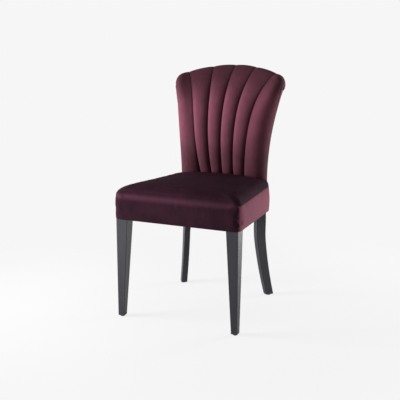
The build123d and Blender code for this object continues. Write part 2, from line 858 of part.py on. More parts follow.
def crest_frame(share):
    """Middle of the crest rail at a share of the fan, its facing and its climb."""
    top = roll_start(share)
    start = seam_at(share, top)
    out = facing(start)
    rise = Vector(0, start.Y - seam_at(share, top - 1.0).Y, 1.0)
    climb = (rise - out * rise.dot(out)).normalized()
    return start - out * (CREST_ROLL_R + 3) - climb * 20, out, climb


def crest_middle(share):
    """Middle of the crest rail at a share of the fan."""
    return crest_frame(share)[0]


def crest_rail():
    """Arched rail under the crest roll, between the back posts."""
    sections = []
    for share in (-1.1, -0.8, -0.4, 0.0, 0.4, 0.8, 1.1):
        middle, out, climb = crest_frame(share)
        plane = Plane(origin=middle, x_dir=tuple(out), z_dir=tuple(out.cross(climb)))
        sections.append((plane * RectangleRounded(22.0, 46.0, 3.0)).wire())
    return Solid.make_loft(sections)


def lower_rail_front():
    """Front face of the lower back rail, just behind the back panel."""
    low = LOWER_RAIL_Z - LOWER_RAIL_H / 2
    return front_line(low)[0] + CHANNEL_DEPTH + PANEL_T + 2.5


def lower_back_rail():
    """Straight rail between the back posts, low in the back."""
    near = lower_rail_front()
    half = rear_centre(LOWER_RAIL_Z)[0]
    points = [(-half, near), (half, near), (half, near + RAIL_T), (-half, near + RAIL_T)]
    return prism(points, LOWER_RAIL_Z - LOWER_RAIL_H / 2, LOWER_RAIL_Z + LOWER_RAIL_H / 2)


# Outside back


def outside_y(z):
    """Depth of the outside back at the middle."""
    rise = max(z - OUTSIDE_BEND_Z, 0.0)
    return OUTSIDE_Y + OUTSIDE_R - math.sqrt(OUTSIDE_R**2 - rise**2)


def outside_section(z):
    """Strip section of the outside-back cover at a height."""
    edge = edge_point(z)
    middle = outside_y(z)
    corner_x = edge.X - OUTSIDE_CORNER
    corner_y = middle - corner_x**2 / (2 * PLAN_R)
    ease = math.sqrt(0.5)

    def strip(t, sign):
        bend_x = corner_x + (OUTSIDE_CORNER - t) * ease
        bend_y = edge.Y + (corner_y - t - edge.Y) * ease
        side = (sign * (edge.X - t), edge.Y + 2 * SEAM_GAP, 0)
        bend = (sign * bend_x, bend_y, 0)
        corner = (sign * corner_x, corner_y - t, 0)
        return side, bend, corner

    side_r, bend_r, corner_r = strip(0, 1)
    side_l, bend_l, corner_l = strip(0, -1)
    in_side_r, in_bend_r, in_corner_r = strip(COVER, 1)
    in_side_l, in_bend_l, in_corner_l = strip(COVER, -1)
    edges = [
        arc(side_r, bend_r, corner_r),
        arc(corner_r, (0, middle, 0), corner_l),
        arc(corner_l, bend_l, side_l),
        line(side_l, in_side_l),
        arc(in_side_l, in_bend_l, in_corner_l),
        arc(in_corner_l, (0, middle - COVER, 0), in_corner_r),
        arc(in_corner_r, in_bend_r, in_side_r),
        line(in_side_r, side_r),
    ]
    return wire_on(Plane(origin=(0, 0, z)), edges)


def outside_back_cover():
    """Velvet over the rear of the back, arched along the crest roll."""
    low = filling_floor() + 0.5
    heights = (low, 500, 560, 620, 680, 740, 790, 830, OUTSIDE_TOP + 4)
    panel = Solid.make_loft([outside_section(z) for z in heights])
    half = 300.0
    drop = half**2 / (2 * OUTSIDE_ARCH_R)
    crown = OUTSIDE_TOP + 80
    edges = [
        arc((-half, OUTSIDE_TOP - drop), (0, OUTSIDE_TOP), (half, OUTSIDE_TOP - drop)),
        line((half, OUTSIDE_TOP - drop), (half, crown)),
        line((half, crown), (-half, crown)),
        line((-half, crown), (-half, OUTSIDE_TOP - drop)),
    ]
    above = extrude(Face(wire_on(Plane.XZ, edges)), 900, dir=(0, 1, 0))
    return panel - above


# Seat filling and covers


def seat_cover():
    """Velvet seat cover: crowned, boxed, hemmed under the rails."""
    shell = seat_form(0) - seat_form(COVER)
    opening = Solid.make_loft(
        [
            seat_section(seat_plane(SEAT_UNDERSIDE - 30, SEAT_UNDERSIDE_TILT), COVER_HEM + COVER),
            seat_section(seat_plane(SEAT_UNDERSIDE + 30, SEAT_UNDERSIDE_TILT), COVER_HEM + COVER),
        ]
    )
    shell = shell - opening - back_notch(0)
    for side in SIDES.values():
        shell = shell - for_side(leg_room(), side) - for_side(rear_leg_room(), side)
    return shell


def leg_room():
    """Front leg drawn a hair larger, to cut its neighbours."""
    outer = LEG_SPAN / 2 + CLEAR
    points = [
        (outer - LEG_TOP - 2 * CLEAR, -CLEAR),
        (outer, -CLEAR),
        (outer, LEG_TOP + CLEAR),
        (outer - LEG_TOP - 2 * CLEAR, LEG_TOP + CLEAR),
    ]
    return prism(points, SEAT_UNDERSIDE - 40, RAIL_TOP + CLEAR)


def seat_foam():
    """Crowned foam on the platform cloth."""
    form = seat_form(COVER + CLEAR)
    below = prism([(-400, -200), (400, -200), (400, 700), (-400, 700)], 200, filling_floor())
    return form - below - back_notch(COVER)


def edge_wadding():
    """Wadding between the rails and the cover."""
    form = seat_form(COVER + CLEAR)
    above = prism([(-400, -200), (400, -200), (400, 700), (-400, 700)], RAIL_TOP + 2 * WEB_T - CLEAR, 700)
    return form - above - prism(frame_outline(CLEAR), 200, 700)


def webbing_lengthwise():
    """Straps from the front rail to the rear rail."""
    near = RAIL_SETBACK + 3
    far = REAR_RAIL_FRONT + RAIL_T - 3
    straps = []
    for x in (-96, -32, 32, 96):
        points = [
            (x - WEB_W / 2, near),
            (x + WEB_W / 2, near),
            (x + WEB_W / 2, far),
            (x - WEB_W / 2, far),
        ]
        straps.append(prism(points, RAIL_TOP, RAIL_TOP + WEB_T))
    return group(straps)


def webbing_crosswise():
    """Straps from side rail to side rail, over the lengthwise ones."""
    straps = []
    for y in (85, 160, 235, 310):
        reach = rail_half(y + WEB_W / 2) - 3
        points = [
            (-reach, y - WEB_W / 2),
            (reach, y - WEB_W / 2),
            (reach, y + WEB_W / 2),
            (-reach, y + WEB_W / 2),
        ]
        straps.append(prism(points, RAIL_TOP + WEB_T, RAIL_TOP + 2 * WEB_T))
    return group(straps)


def platform_cloth():
    """Cloth between the webbing and the foam."""
    far = BELLY_Y - 26
    points = [
        (-LEG_SPAN / 2 + 2, 2),
        (LEG_SPAN / 2 - 2, 2),
        (rail_half(far), far),
        (-rail_half(far), far),
    ]
    low = RAIL_TOP + 2 * WEB_T
    return prism(points, low, low + PLATFORM_T)


def dust_cover():
    """Thin cloth under the seat, notched round the legs."""
    plane = seat_plane(SEAT_UNDERSIDE - CLEAR, SEAT_UNDERSIDE_TILT)
    face = Face(seat_section(plane, 11.0))
    cloth = extrude(face, DUST_T, dir=tuple(-plane.z_dir))
    for side in SIDES.values():
        cloth = cloth - for_side(leg_room(), side) - for_side(rear_leg_room(), side)
    return cloth


# Assembly


def all_parts():
    """Every node of the chair with its solid."""
    parts = {}
    seat_holes = [rod(a, d, DOWEL_D, DOWEL_L) for a, d in seat_dowels()]
    back_holes = [rod(a, d, DOWEL_D, DOWEL_L) for a, d in back_dowels()]
    screws = [screw(a, d) for a, d in block_screws()]
    screw_holes = [screw_hole(a, d) for a, d in block_screws()]
    bolts = [bolt(a, d) for a, d in leg_bolts()]
    bolt_holes = [bolt_hole(a, d) for a, d in leg_bolts()]

    leg = front_leg() - seat_holes
    rear_holes = bolt_holes + seat_holes + back_holes
    side = side_rail() - seat_holes - screw_holes
    block = corner_block() - screw_holes
    rear_block = rear_corner_block() - bolt_holes
    edge_foam = edge_filling() - leg_in_back()
    for name, sign in SIDES.items():
        parts[f"front_leg_{name}"] = for_side(leg, sign)
        parts[f"rear_leg_{name}"] = rear_leg(sign) - [for_side(hole, sign) for hole in rear_holes]
        parts[f"side_seat_rail_{name}"] = for_side(side, sign)
        parts[f"front_corner_block_{name}"] = for_side(block, sign)
        parts[f"rear_corner_block_{name}"] = for_side(rear_block, sign)
        parts[f"front_glide_{name}"] = for_side(glide(front_foot()), sign)
        parts[f"rear_glide_{name}"] = for_side(glide(rear_foot()), sign)
        parts[f"outer_channel_cover_{name}"] = for_side(edge_cover(), sign)
        parts[f"outer_channel_foam_{name}"] = for_side(edge_foam, sign)

    both_seat = [for_side(h, sign) for h in seat_holes for sign in (-1, 1)]
    both_back = [for_side(h, sign) for h in back_holes for sign in (-1, 1)]
    both_screws = [for_side(h, sign) for h in screw_holes for sign in (-1, 1)]
    both_posts = [rear_leg(sign) for sign in (-1, 1)]
    parts["front_seat_rail"] = front_rail() - both_seat - both_screws
    parts["rear_seat_rail"] = rear_rail() - both_seat
    parts["crest_rail"] = crest_rail() - both_posts - both_back
    parts["lower_back_rail"] = lower_back_rail() - both_posts - both_back
    parts["seat_rail_dowels"] = group(both_seat)
    parts["back_rail_dowels"] = group(both_back)
    parts["corner_block_screws"] = group(for_side(s, sign) for s in screws for sign in (-1, 1))
    parts["rear_leg_bolts"] = group(for_side(b, sign) for b in bolts for sign in (-1, 1))

    seams = (-1.0, -0.5, 0.0, 0.5, 1.0)
    names = ("middle_left", "inner_left", "inner_right", "middle_right")
    for name, left, right in zip(names, seams, seams[1:]):
        parts[f"channel_cover_{name}"] = channel_cover(left, right)
        parts[f"channel_foam_{name}"] = channel_filling(left, right)

    parts["back_panel"] = back_panel()
    parts["outside_back_cover"] = outside_back_cover()
    parts["seat_cover"] = seat_cover()
    parts["seat_foam"] = seat_foam()
    parts["edge_wadding"] = edge_wadding()
    parts["webbing_lengthwise"] = webbing_lengthwise()
    parts["webbing_crosswise"] = webbing_crosswise()
    parts["platform_cloth"] = platform_cloth()
    parts["dust_cover"] = dust_cover()
    return parts


def main():
    """Build every node, move the origin under the middle and write the files."""
    os.makedirs("parts", exist_ok=True)
    parts = all_parts()
    boxes = [shape.bounding_box() for shape in parts.values()]
    front = min(box.min.Y for box in boxes)
    rear = max(box.max.Y for box in boxes)
    shift = Location((0, -(front + rear) / 2, 0))
    for name, shape in parts.items():
        export_step(shift * shape, f"parts/{name}.step")
    print("nodes", len(parts), "depth", round(rear - front, 1), "front", round(front, 2))


if __name__ == "__main__":
    main()
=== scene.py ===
"""Dining chair in plum velvet: the looks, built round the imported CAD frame."""

from __future__ import annotations

import json
import logging
import math
from dataclasses import dataclass, field
from enum import Enum
from typing import Any

import bpy
import numpy as np
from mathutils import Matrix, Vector


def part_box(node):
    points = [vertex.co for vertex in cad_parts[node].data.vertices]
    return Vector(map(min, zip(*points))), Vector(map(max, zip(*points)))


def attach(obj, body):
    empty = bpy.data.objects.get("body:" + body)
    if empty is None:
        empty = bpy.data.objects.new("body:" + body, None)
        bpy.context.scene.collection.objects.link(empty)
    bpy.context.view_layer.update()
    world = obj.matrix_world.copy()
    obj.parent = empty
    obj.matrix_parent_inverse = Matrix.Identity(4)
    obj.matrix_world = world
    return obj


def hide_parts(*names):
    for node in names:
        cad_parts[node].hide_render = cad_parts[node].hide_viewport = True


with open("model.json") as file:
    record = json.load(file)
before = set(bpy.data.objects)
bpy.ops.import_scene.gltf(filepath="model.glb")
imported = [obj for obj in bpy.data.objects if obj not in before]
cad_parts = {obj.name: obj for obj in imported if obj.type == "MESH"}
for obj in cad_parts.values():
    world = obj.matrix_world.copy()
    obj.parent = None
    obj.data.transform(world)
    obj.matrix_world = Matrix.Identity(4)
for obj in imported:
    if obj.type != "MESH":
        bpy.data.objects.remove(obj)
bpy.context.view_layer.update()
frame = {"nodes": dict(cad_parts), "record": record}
LEG_FRONT_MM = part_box("front_leg_right")[0].y * 1000.0
BODY = "root"

log = logging.getLogger("chair")

Triple = tuple[float, float, float]
Colour = Triple


class Side(Enum):
    """Left or right half of the chair, as seen by someone facing it."""

    LEFT = -1
    RIGHT = 1

    @property
    def word(self) -> str:
        """The side's name in node names."""
        return self.name.lower()


# Shader graphs


class Signal:
    """A shader socket that takes part in Python expressions."""

    def __init__(self, graph: Graph, socket: bpy.types.NodeSocket) -> None:
        """Keep the graph and the socket."""
        self.graph = graph
        self.socket = socket

    def _math(self, operation: str, first: Any, second: Any) -> Signal:
        """Result of a Math node on two numbers or signals."""
        node = self.graph.node("ShaderNodeMath", {"operation": operation}, {0: first, 1: second})
        return Signal(self.graph, node.outputs[0])

    def __add__(self, other: Any) -> Signal:
        """Sum."""
        return self._math("ADD", self, other)

    def __radd__(self, other: Any) -> Signal:
        """Sum, number first."""
        return self._math("ADD", other, self)

    def __sub__(self, other: Any) -> Signal:
        """Difference."""
        return self._math("SUBTRACT", self, other)

    def __rsub__(self, other: Any) -> Signal:
        """Difference, number first."""
        return self._math("SUBTRACT", other, self)

    def __mul__(self, other: Any) -> Signal:
        """Product."""
        return self._math("MULTIPLY", self, other)

    def __rmul__(self, other: Any) -> Signal:
        """Product, number first."""
        return self._math("MULTIPLY", other, self)

    def at_least(self, other: Any) -> Signal:
        """The larger of two values."""
        return self._math("MAXIMUM", self, other)

    def eased(self, low: float, high: float) -> Signal:
        """Smooth step from 0 at low to 1 at high.

        Args:
            low: value that gives 0.
            high: value that gives 1.

        Returns:
            The eased signal.
        """
        settings = {"interpolation_type": "SMOOTHSTEP", "clamp": True}
        inputs = {"Value": self, "From Min": low, "From Max": high}
        node = self.graph.node("ShaderNodeMapRange", settings, inputs)
        return Signal(self.graph, node.outputs[0])


class Graph:
    """Node tree of one material or of the world."""

    def __init__(self, owner: bpy.types.ID) -> None:
        """Start an empty tree.

        Args:
            owner: the material or world whose nodes these are.
        """
        owner.use_nodes = True
        self.owner = owner
        self.tree = owner.node_tree
        self.tree.nodes.clear()

    def node(self, kind: str, settings: dict[str, Any], inputs: dict[Any, Any]) -> bpy.types.Node:
        """Add any node: its settings first, then its socket values or links.

        Args:
            kind: node type.
            settings: properties of the node.
            inputs: socket name or number to a number, colour, signal or socket.

        Returns:
            The node.
        """
        node = self.tree.nodes.new(kind)
        for name, value in settings.items():
            setattr(node, name, value)
        for key, value in inputs.items():
            if isinstance(value, Signal):
                value = value.socket
            if isinstance(value, bpy.types.NodeSocket):
                self.tree.links.new(value, node.inputs[key])
            else:
                node.inputs[key].default_value = value
        return node

    def signal(self, kind: str, settings: dict[str, Any], inputs: dict[Any, Any], out: Any = 0) -> Signal:
        """One output of a new node, by name or number."""
        return Signal(self, self.node(kind, settings, inputs).outputs[out])

    def place(self, scale: Triple = (1.0, 1.0, 1.0)) -> Signal:
        """Object coordinates, stretched along X, Y and Z."""
        coords = self.signal("ShaderNodeTexCoord", {}, {}, "Object")
        return self.signal("ShaderNodeMapping", {}, {"Vector": coords, "Scale": scale})

    def attribute(self, name: str) -> Signal:
        """A point attribute of the piece."""
        return self.signal("ShaderNodeAttribute", {"attribute_name": name}, {}, "Fac")

    def noise(self, where: Signal, scale: float, detail: float = 2.0, rough: float = 0.5) -> Signal:
        """Noise from 0 to 1, with a scale in patches per metre."""
        inputs = {"Vector": where, "Scale": scale, "Detail": detail, "Roughness": rough}
        return self.signal("ShaderNodeTexNoise", {}, inputs, 0)

    def blend(self, share: Any, first: Any, second: Any) -> Signal:
        """Mix of two colours.

        Args:
            share: 0 gives the first colour, 1 the second.
            first: colour or signal.
            second: colour or signal.

        Returns:
            The mixed colour.
        """
        settings = {"data_type": "RGBA", "clamp_factor": True}
        inputs = {0: share, 6: rgba(first), 7: rgba(second)}
        return self.signal("ShaderNodeMix", settings, inputs, 2)

    def bump(self, height: Signal, distance: float, strength: float) -> Signal:
        """Normal bent by a height of 0 to 1, where 1 stands for the distance in metres."""
        inputs = {"Height": height, "Distance": distance, "Strength": strength}
        return self.signal("ShaderNodeBump", {}, inputs)

    def surface(self, inputs: dict[str, Any]) -> bpy.types.Material:
        """Principled surface as the tree's output.

        Args:
            inputs: socket values or links of the Principled node.

        Returns:
            The finished material.
        """
        shader = self.node("ShaderNodeBsdfPrincipled", {}, inputs)
        self.node("ShaderNodeOutputMaterial", {}, {"Surface": shader.outputs[0]})
        return self.owner


def rgba(colour: Any) -> Any:
    """A colour with full alpha; signals pass through."""
    return (*colour, 1.0) if isinstance(colour, tuple) and len(colour) == 3 else colour


# Finishes


@dataclass(frozen=True)
class Velvet:
    """Plum velvet with combed patches and a soft bloom at grazing angles, whose colour also carries painted
    light and shade and painted shade in the seams.
    """

    name: str
    deep: Colour = (0.042, 0.0108, 0.0178)
    brushed_and_lit: Colour = (0.190, 0.0550, 0.0860)
    bloom: Colour = (0.80, 0.34, 0.48)
    bloom_weight: float = 0.05
    bloom_spread: float = 0.42
    # painted shade in the seams: its strength, and its colour as a share of the deep colour
    valley_shade: float = 0.85
    valley_depth: float = 0.18
    gloss: float = 0.12

    def make(self) -> bpy.types.Material:
        """Build the material.

        Returns:
            A material that reads Object coordinates and two attributes of the piece: painted seam shade, and
            painted light and shade.
        """
        graph = Graph(bpy.data.materials.new(self.name))
        plain = graph.place()
        streaks = graph.place((1.0, 1.0, 0.22))
        strokes = graph.noise(plain, 9.0, 3.0, 0.55).eased(0.34, 0.68)
        combed = graph.noise(streaks, 70.0, 2.0, 0.6).eased(0.3, 0.75)
        tufts = graph.noise(plain, 1500.0, 1.0, 0.5)
        seam_shade = graph.attribute("seam_shade")
        painted_light = graph.attribute("painted_light")
        # painted light and shade from the piece's attribute sets most of the colour, over random combed tone
        tone_and_painted_light = strokes * 0.14 + combed * 0.08 + tufts * 0.10 + painted_light * 0.68
        pile = graph.blend(tone_and_painted_light, self.deep, self.brushed_and_lit)
        # painted shade: seams, channel walls and the seat's border line darken towards this colour
        seam_shade_colour = tuple(part * self.valley_depth for part in self.deep)
        shaded = graph.blend(seam_shade * self.valley_shade, pile, seam_shade_colour)
        height = tufts * 0.6 + combed * 0.4
        return graph.surface(
            {
                "Base Color": shaded,
                "Roughness": 0.8 + 0.16 * tone_and_painted_light,
                "Specular IOR Level": self.gloss,
                "Sheen Weight": self.bloom_weight,
                "Sheen Roughness": self.bloom_spread,
                "Sheen Tint": rgba(self.bloom),
                "Normal": graph.bump(height, 0.0005, 0.35),
            }
        )


@dataclass(frozen=True)
class StainedWood:
    """Close-grained timber stained nearly black under a satin lacquer, rubbed at the arrises."""

    name: str
    stain: Colour = (0.0080, 0.0076, 0.0125)
    grain: Colour = (0.0130, 0.0123, 0.0190)
    rubbed: Colour = (0.036, 0.034, 0.037)

    def make(self) -> bpy.types.Material:
        """Build the material.

        Returns:
            A material with grain along Z and a lighter rub where edges turn.
        """
        graph = Graph(bpy.data.materials.new(self.name))
        long_grain = graph.place((1.0, 1.0, 0.045))
        figure = graph.noise(long_grain, 120.0, 4.0, 0.6).eased(0.35, 0.7)
        pores = graph.noise(long_grain, 900.0, 2.0, 0.6).eased(0.5, 0.72)
        handling = graph.noise(graph.place(), 30.0, 3.0, 0.6)
        rounded = graph.signal("ShaderNodeBevel", {"samples": 4}, {"Radius": 0.0022})
        flat = graph.signal("ShaderNodeNewGeometry", {}, {}, "Normal")
        facing = graph.signal("ShaderNodeVectorMath", {"operation": "DOT_PRODUCT"}, {0: rounded, 1: flat}, 1)
        rub = (1 - facing).eased(0.02, 0.28) * handling.eased(0.42, 0.62)
        wood = graph.blend(figure, self.stain, self.grain)
        worn = graph.blend(rub * 0.55, wood, self.rubbed)
        return graph.surface(
            {
                "Base Color": graph.blend(pores * 0.4, worn, self.stain),
                "Roughness": 0.40 + 0.1 * handling + 0.06 * pores,
                "Specular IOR Level": 0.40,
                "Coat Weight": 0.06,
                "Coat Roughness": 0.34,
                "Normal": graph.bump(figure * 0.5 - pores * 0.5, 0.00025, 0.4),
            }
        )


@dataclass(frozen=True)
class PlanedWood:
    """Bare planed timber of the hidden frame, or the face of bent plywood."""

    name: str
    early: Colour = (0.55, 0.39, 0.22)
    late: Colour = (0.34, 0.21, 0.11)
    along: Triple = (0.05, 1.0, 1.0)

    def make(self) -> bpy.types.Material:
        """Build the material.

        Returns:
            A material with bands of early and late wood.
        """
        graph = Graph(bpy.data.materials.new(self.name))
        where = graph.place(self.along)
        rings = graph.noise(where, 70.0, 4.0, 0.62).eased(0.36, 0.68)
        fibres = graph.noise(where, 600.0, 2.0, 0.5)
        return graph.surface(
            {
                "Base Color": graph.blend(rings * 0.8 + fibres * 0.2, self.early, self.late),
                "Roughness": 0.62 + 0.16 * fibres,
                "Normal": graph.bump(fibres, 0.0003, 0.35),
            }
        )


@dataclass(frozen=True)
class ZincSteel:
    """Zinc-plated steel of screws and bolts."""

    name: str
    bright: Colour = (0.62, 0.62, 0.63)
    dull: Colour = (0.40, 0.41, 0.44)

    def make(self) -> bpy.types.Material:
        """Build the material.

        Returns:
            A metal with clouded plating.
        """
        graph = Graph(bpy.data.materials.new(self.name))
        clouds = graph.noise(graph.place(), 260.0, 3.0, 0.6)
        return graph.surface(
            {
                "Base Color": graph.blend(clouds.eased(0.35, 0.7), self.bright, self.dull),
                "Metallic": 1.0,
                "Roughness": 0.24 + 0.2 * clouds,
            }
        )


@dataclass(frozen=True)
class MouldedNylon:
    """Dark nylon of the glides, scuffed by the floor."""

    name: str
    fresh: Colour = (0.028, 0.028, 0.030)
    scuffed: Colour = (0.095, 0.093, 0.090)

    def make(self) -> bpy.types.Material:
        """Build the material.

        Returns:
            A plastic that gets paler towards the floor.
        """
        graph = Graph(bpy.data.materials.new(self.name))
        where = graph.place()
        height = graph.signal("ShaderNodeSeparateXYZ", {}, {0: where}, 2)
        specks = graph.noise(where, 700.0, 3.0, 0.6)
        scuff = (1 - height.eased(0.0, 0.003)) * specks.eased(0.42, 0.66)
        return graph.surface(
            {
                "Base Color": graph.blend(scuff, self.fresh, self.scuffed),
                "Roughness": 0.5 + 0.2 * specks,
                "Normal": graph.bump(specks, 0.0002, 0.25),
            }
        )


@dataclass(frozen=True)
class WovenCloth:
    """Plain woven or spun-bonded cloth: webbing, platform cloth and dust cover."""

    name: str
    thread: Colour = (0.030, 0.030, 0.033)
    gap: Colour = (0.010, 0.010, 0.011)
    pitch: float = 0.0012

    def make(self) -> bpy.types.Material:
        """Build the material.

        Returns:
            A cloth of crossed threads on Object coordinates.
        """
        graph = Graph(bpy.data.materials.new(self.name))
        where = graph.place()
        rate = 2 * math.pi / self.pitch
        across = self._thread(graph, where, 0, rate)
        along = self._thread(graph, where, 1, rate)
        blots = graph.noise(where, 90.0, 3.0, 0.6)
        weave = across.at_least(along)
        return graph.surface(
            {
                "Base Color": graph.blend(weave * 0.7 + blots * 0.3, self.gap, self.thread),
                "Roughness": 0.85 + 0.1 * blots,
                "Normal": graph.bump(weave, 0.0003, 0.4),
            }
        )

    @staticmethod
    def _thread(graph: Graph, where: Signal, axis: int, rate: float) -> Signal:
        """Rounded threads along one axis.

        Args:
            graph: tree to add to.
            where: coordinates.
            axis: 0 for X, 1 for Y.
            rate: radians per metre.

        Returns:
            0 between the threads and 1 on them.
        """
        run = graph.signal("ShaderNodeSeparateXYZ", {}, {0: where}, axis)
        wave = graph.signal("ShaderNodeMath", {"operation": "SINE"}, {0: run * rate})
        return wave * 0.5 + 0.5


# Meshes


def smooth(share: np.ndarray) -> np.ndarray:
    """Smooth step of a share that is clipped to 0 and 1."""
    share = np.clip(share, 0.0, 1.0)
    return share * share * (3 - 2 * share)


def unit(vectors: np.ndarray) -> np.ndarray:
    """Vectors scaled to length one."""
    return vectors / np.linalg.norm(vectors, axis=-1, keepdims=True)


def along(first: np.ndarray, second: np.ndarray) -> np.ndarray:
    """Dot product of two vector fields, kept as a last axis of one."""
    return np.sum(first * second, axis=-1, keepdims=True)


def ripple(where: np.ndarray, length: float, seed: int) -> np.ndarray:
    """Slow irregular wave from -1 to 1: three sines with uneven lengths and fixed phases.

    Args:
        where: distance along the cloth in millimetres.
        length: typical wave length in millimetres.
        seed: number that shifts the phases.

    Returns:
        The wave at each place.
    """
    turn = 2 * math.pi * where / length
    first = np.sin(turn + 1.7 * seed)
    second = np.sin(turn * 0.618 + 2.9 * seed + 0.4)
    third = np.sin(turn * 1.73 + 4.3 * seed + 1.1)
    return (first + 0.8 * second + 0.5 * third) / 2.3


class Rings:
    """A closed skin: rings of points carried along a path and capped at both ends."""

    def __init__(
        self,
        points: np.ndarray,
        seam_shade: np.ndarray | None = None,
        painted_light: np.ndarray | None = None,
    ) -> None:
        """Keep the rings.

        Args:
            points: array of ring, place on the ring and coordinate, in design millimetres.
            seam_shade: painted shade at each point, strongest deep in a sewn seam, 0 to 1.
            painted_light: painted light and shade at each point, 0 in shade to 1 lit.
        """
        self.points = points
        self.seam_shade = np.zeros(points.shape[:2]) if seam_shade is None else seam_shade
        self.painted_light = np.full(points.shape[:2], 0.5) if painted_light is None else painted_light

    def mirrored(self) -> Rings:
        """The same skin on the other side of the chair."""
        return Rings(self.points * np.array([-1.0, 1.0, 1.0]), self.seam_shade, self.painted_light)

    def faces(self) -> tuple[np.ndarray, np.ndarray]:
        """Quads between neighbouring rings, and triangles from each end ring to its middle.

        Returns:
            Quad and triangle indices.
        """
        count, size = self.points.shape[:2]
        index = np.arange(count * size).reshape(count, size)
        after = np.roll(index, -1, axis=1)
        quads = np.stack([index[:-1], after[:-1], after[1:], index[1:]], axis=-1).reshape(-1, 4)
        first = np.full(size, count * size)
        last = np.full(size, count * size + 1)
        start = np.stack([after[0], index[0], first], axis=-1)
        end = np.stack([index[-1], after[-1], last], axis=-1)
        return quads, np.concatenate([start, end])

    def mesh(self, name: str) -> bpy.types.Object:
        """Make the object in metres, in the frame, facing outwards.

        Args:
            name: object name.

        Returns:
            The object, linked and smooth shaded.
        """
        ends = self.points[[0, -1]].mean(axis=1)
        points = np.concatenate([self.points.reshape(-1, 3), ends])
        fields = {
            "seam_shade": np.concatenate([self.seam_shade.reshape(-1), self.seam_shade[[0, -1]].mean(axis=1)]),
            "painted_light": np.concatenate([self.painted_light.reshape(-1), self.painted_light[[0, -1]].mean(axis=1)]),
        }
        quads, triangles = self.faces()
        halves = np.concatenate([quads[:, [0, 1, 2]], quads[:, [0, 2, 3]], triangles])
        a, b, c = (points[halves[:, k]] for k in range(3))
        if np.sum(a * np.cross(b, c)) < 0:
            quads = quads[:, ::-1]
            triangles = triangles[:, ::-1]
        metres = (points + np.array([0.0, LEG_FRONT_MM, 0.0])) / 1000.0
        mesh = bpy.data.meshes.new(name)
        mesh.from_pydata(metres, [], quads.tolist() + triangles.tolist())
        mesh.polygons.foreach_set("use_smooth", np.ones(len(mesh.polygons), bool))
        for title, values in fields.items():
            mesh.attributes.new(title, "FLOAT", "POINT").data.foreach_set("value", values.astype(np.float32))
        mesh.update()
        return add_object(name, mesh)


def add_object(name: str, data: bpy.types.ID) -> bpy.types.Object:
    """Make an object and link it into the scene.

    Args:
        name: object name.
        data: its mesh, lamp or camera data.

    Returns:
        The object.
    """
    thing = bpy.data.objects.new(name, data)
    bpy.context.scene.collection.objects.link(thing)
    return thing


def measured(items: Any, name: str) -> np.ndarray:
    """One vector of every vertex or face of a mesh.

    Args:
        items: the mesh's vertices or polygons.
        name: property of three numbers.

    Returns:
        A row for each item.
    """
    values = np.empty(len(items) * 3, np.float32)
    items.foreach_get(name, values)
    return values.reshape(-1, 3)


def dress(piece: bpy.types.Object, material: bpy.types.Material, nodes: list[str]) -> None:
    """Finish a new piece and let it stand for CAD nodes.

    Args:
        piece: the new object.
        material: its finish.
        nodes: CAD nodes that it stands for.
    """
    piece.data.materials.append(material)
    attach(piece, BODY)
    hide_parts(*nodes)
    log.info("%s: %d faces, stands for %s", piece.name, len(piece.data.polygons), ", ".join(nodes))


# Inside back


@dataclass(frozen=True)
class BackForm:
    """Reference surface of the inside back, through the sewn seams, in design millimetres."""

    bottom: float = 462.0
    belly_z: float = 638.0
    belly_y: float = 411.0
    low_radius: float = 450.0
    high_radius: float = 345.0
    plan_radius: float = 1100.0
    crest_z: float = 921.5
    arch_radius: float = 560.0
    roll_radius: float = 32.0
    roll_end: float = 186.0
    fan_foot_z: float = 500.0
    fan_foot: float = 95.0
    fan_lean: float = 40.0
    fan_flare: float = 42.0

    def line(self, z: np.ndarray) -> tuple[np.ndarray, np.ndarray]:
        """Depth and slope at the middle of the back: two arcs that meet at the belly.

        Args:
            z: height.

        Returns:
            Depth y and slope dy/dz.
        """
        radius = np.where(z > self.belly_z, self.high_radius, self.low_radius)
        rise = z - self.belly_z
        run = np.sqrt(radius**2 - rise**2)
        return self.belly_y + radius - run, rise / run

    def roll_start(self, share: np.ndarray) -> np.ndarray:
        """Height where the front turns into the crest roll; the crest is an arch across the fan.

        Args:
            share: -1 to 1 across the fan.

        Returns:
            Heights.
        """
        spread = share * (self.fan_foot + self.fan_lean + self.fan_flare)
        crest = self.crest_z - spread**2 / (2 * self.arch_radius)
        sine = (crest - self.belly_z - self.roll_radius) / (self.high_radius - self.roll_radius)
        return self.belly_z + self.high_radius * sine

    def seam(self, share: np.ndarray, z: np.ndarray) -> np.ndarray:
        """Points of the fan: spread grows with height, at first evenly and then in a flare.

        Args:
            share: -1 to 1 across the fan.
            z: height.

        Returns:
            Points.
        """
        way = (z - self.fan_foot_z) / (self.roll_start(share) - self.fan_foot_z)
        x = share * (self.fan_foot + self.fan_lean * way + self.fan_flare * way**5)
        y = self.line(z)[0] - x**2 / (2 * self.plan_radius)
        return np.stack([x, y, z + 0 * x], axis=-1)

    def facing(self, points: np.ndarray) -> np.ndarray:
        """Directions square to the surface, towards the sitter.

        Args:
            points: points on the surface.

        Returns:
            Unit vectors.
        """
        slope = self.line(points[..., 2])[1]
        across = -points[..., 0] / self.plan_radius
        return unit(np.stack([across, -np.ones_like(slope), slope], axis=-1))

    def carry(self, share: np.ndarray, way: np.ndarray) -> tuple[np.ndarray, np.ndarray]:
        """Points up the front and over the crest.

        Args:
            share: -1 to 1 across the fan.
            way: 0 to 1 up the front, then 1 to 2 round the crest roll.

        Returns:
            Points, and unit vectors away from the surface.
        """
        share, way = np.broadcast_arrays(share, way)
        top = self.roll_start(share)
        z = self.bottom + (top - self.bottom) * np.minimum(way, 1.0)
        foot = self.seam(share, z)
        out = self.facing(foot)
        climb = unit(self.seam(share, top) - self.seam(share, top - 1.0))
        climb = unit(climb - out * along(climb, out))
        turn = np.radians(self.roll_end) * np.clip(way - 1.0, 0.0, 1.0)[..., None]
        away = out * np.cos(turn) + climb * np.sin(turn)
        return foot + (away - out) * self.roll_radius, away


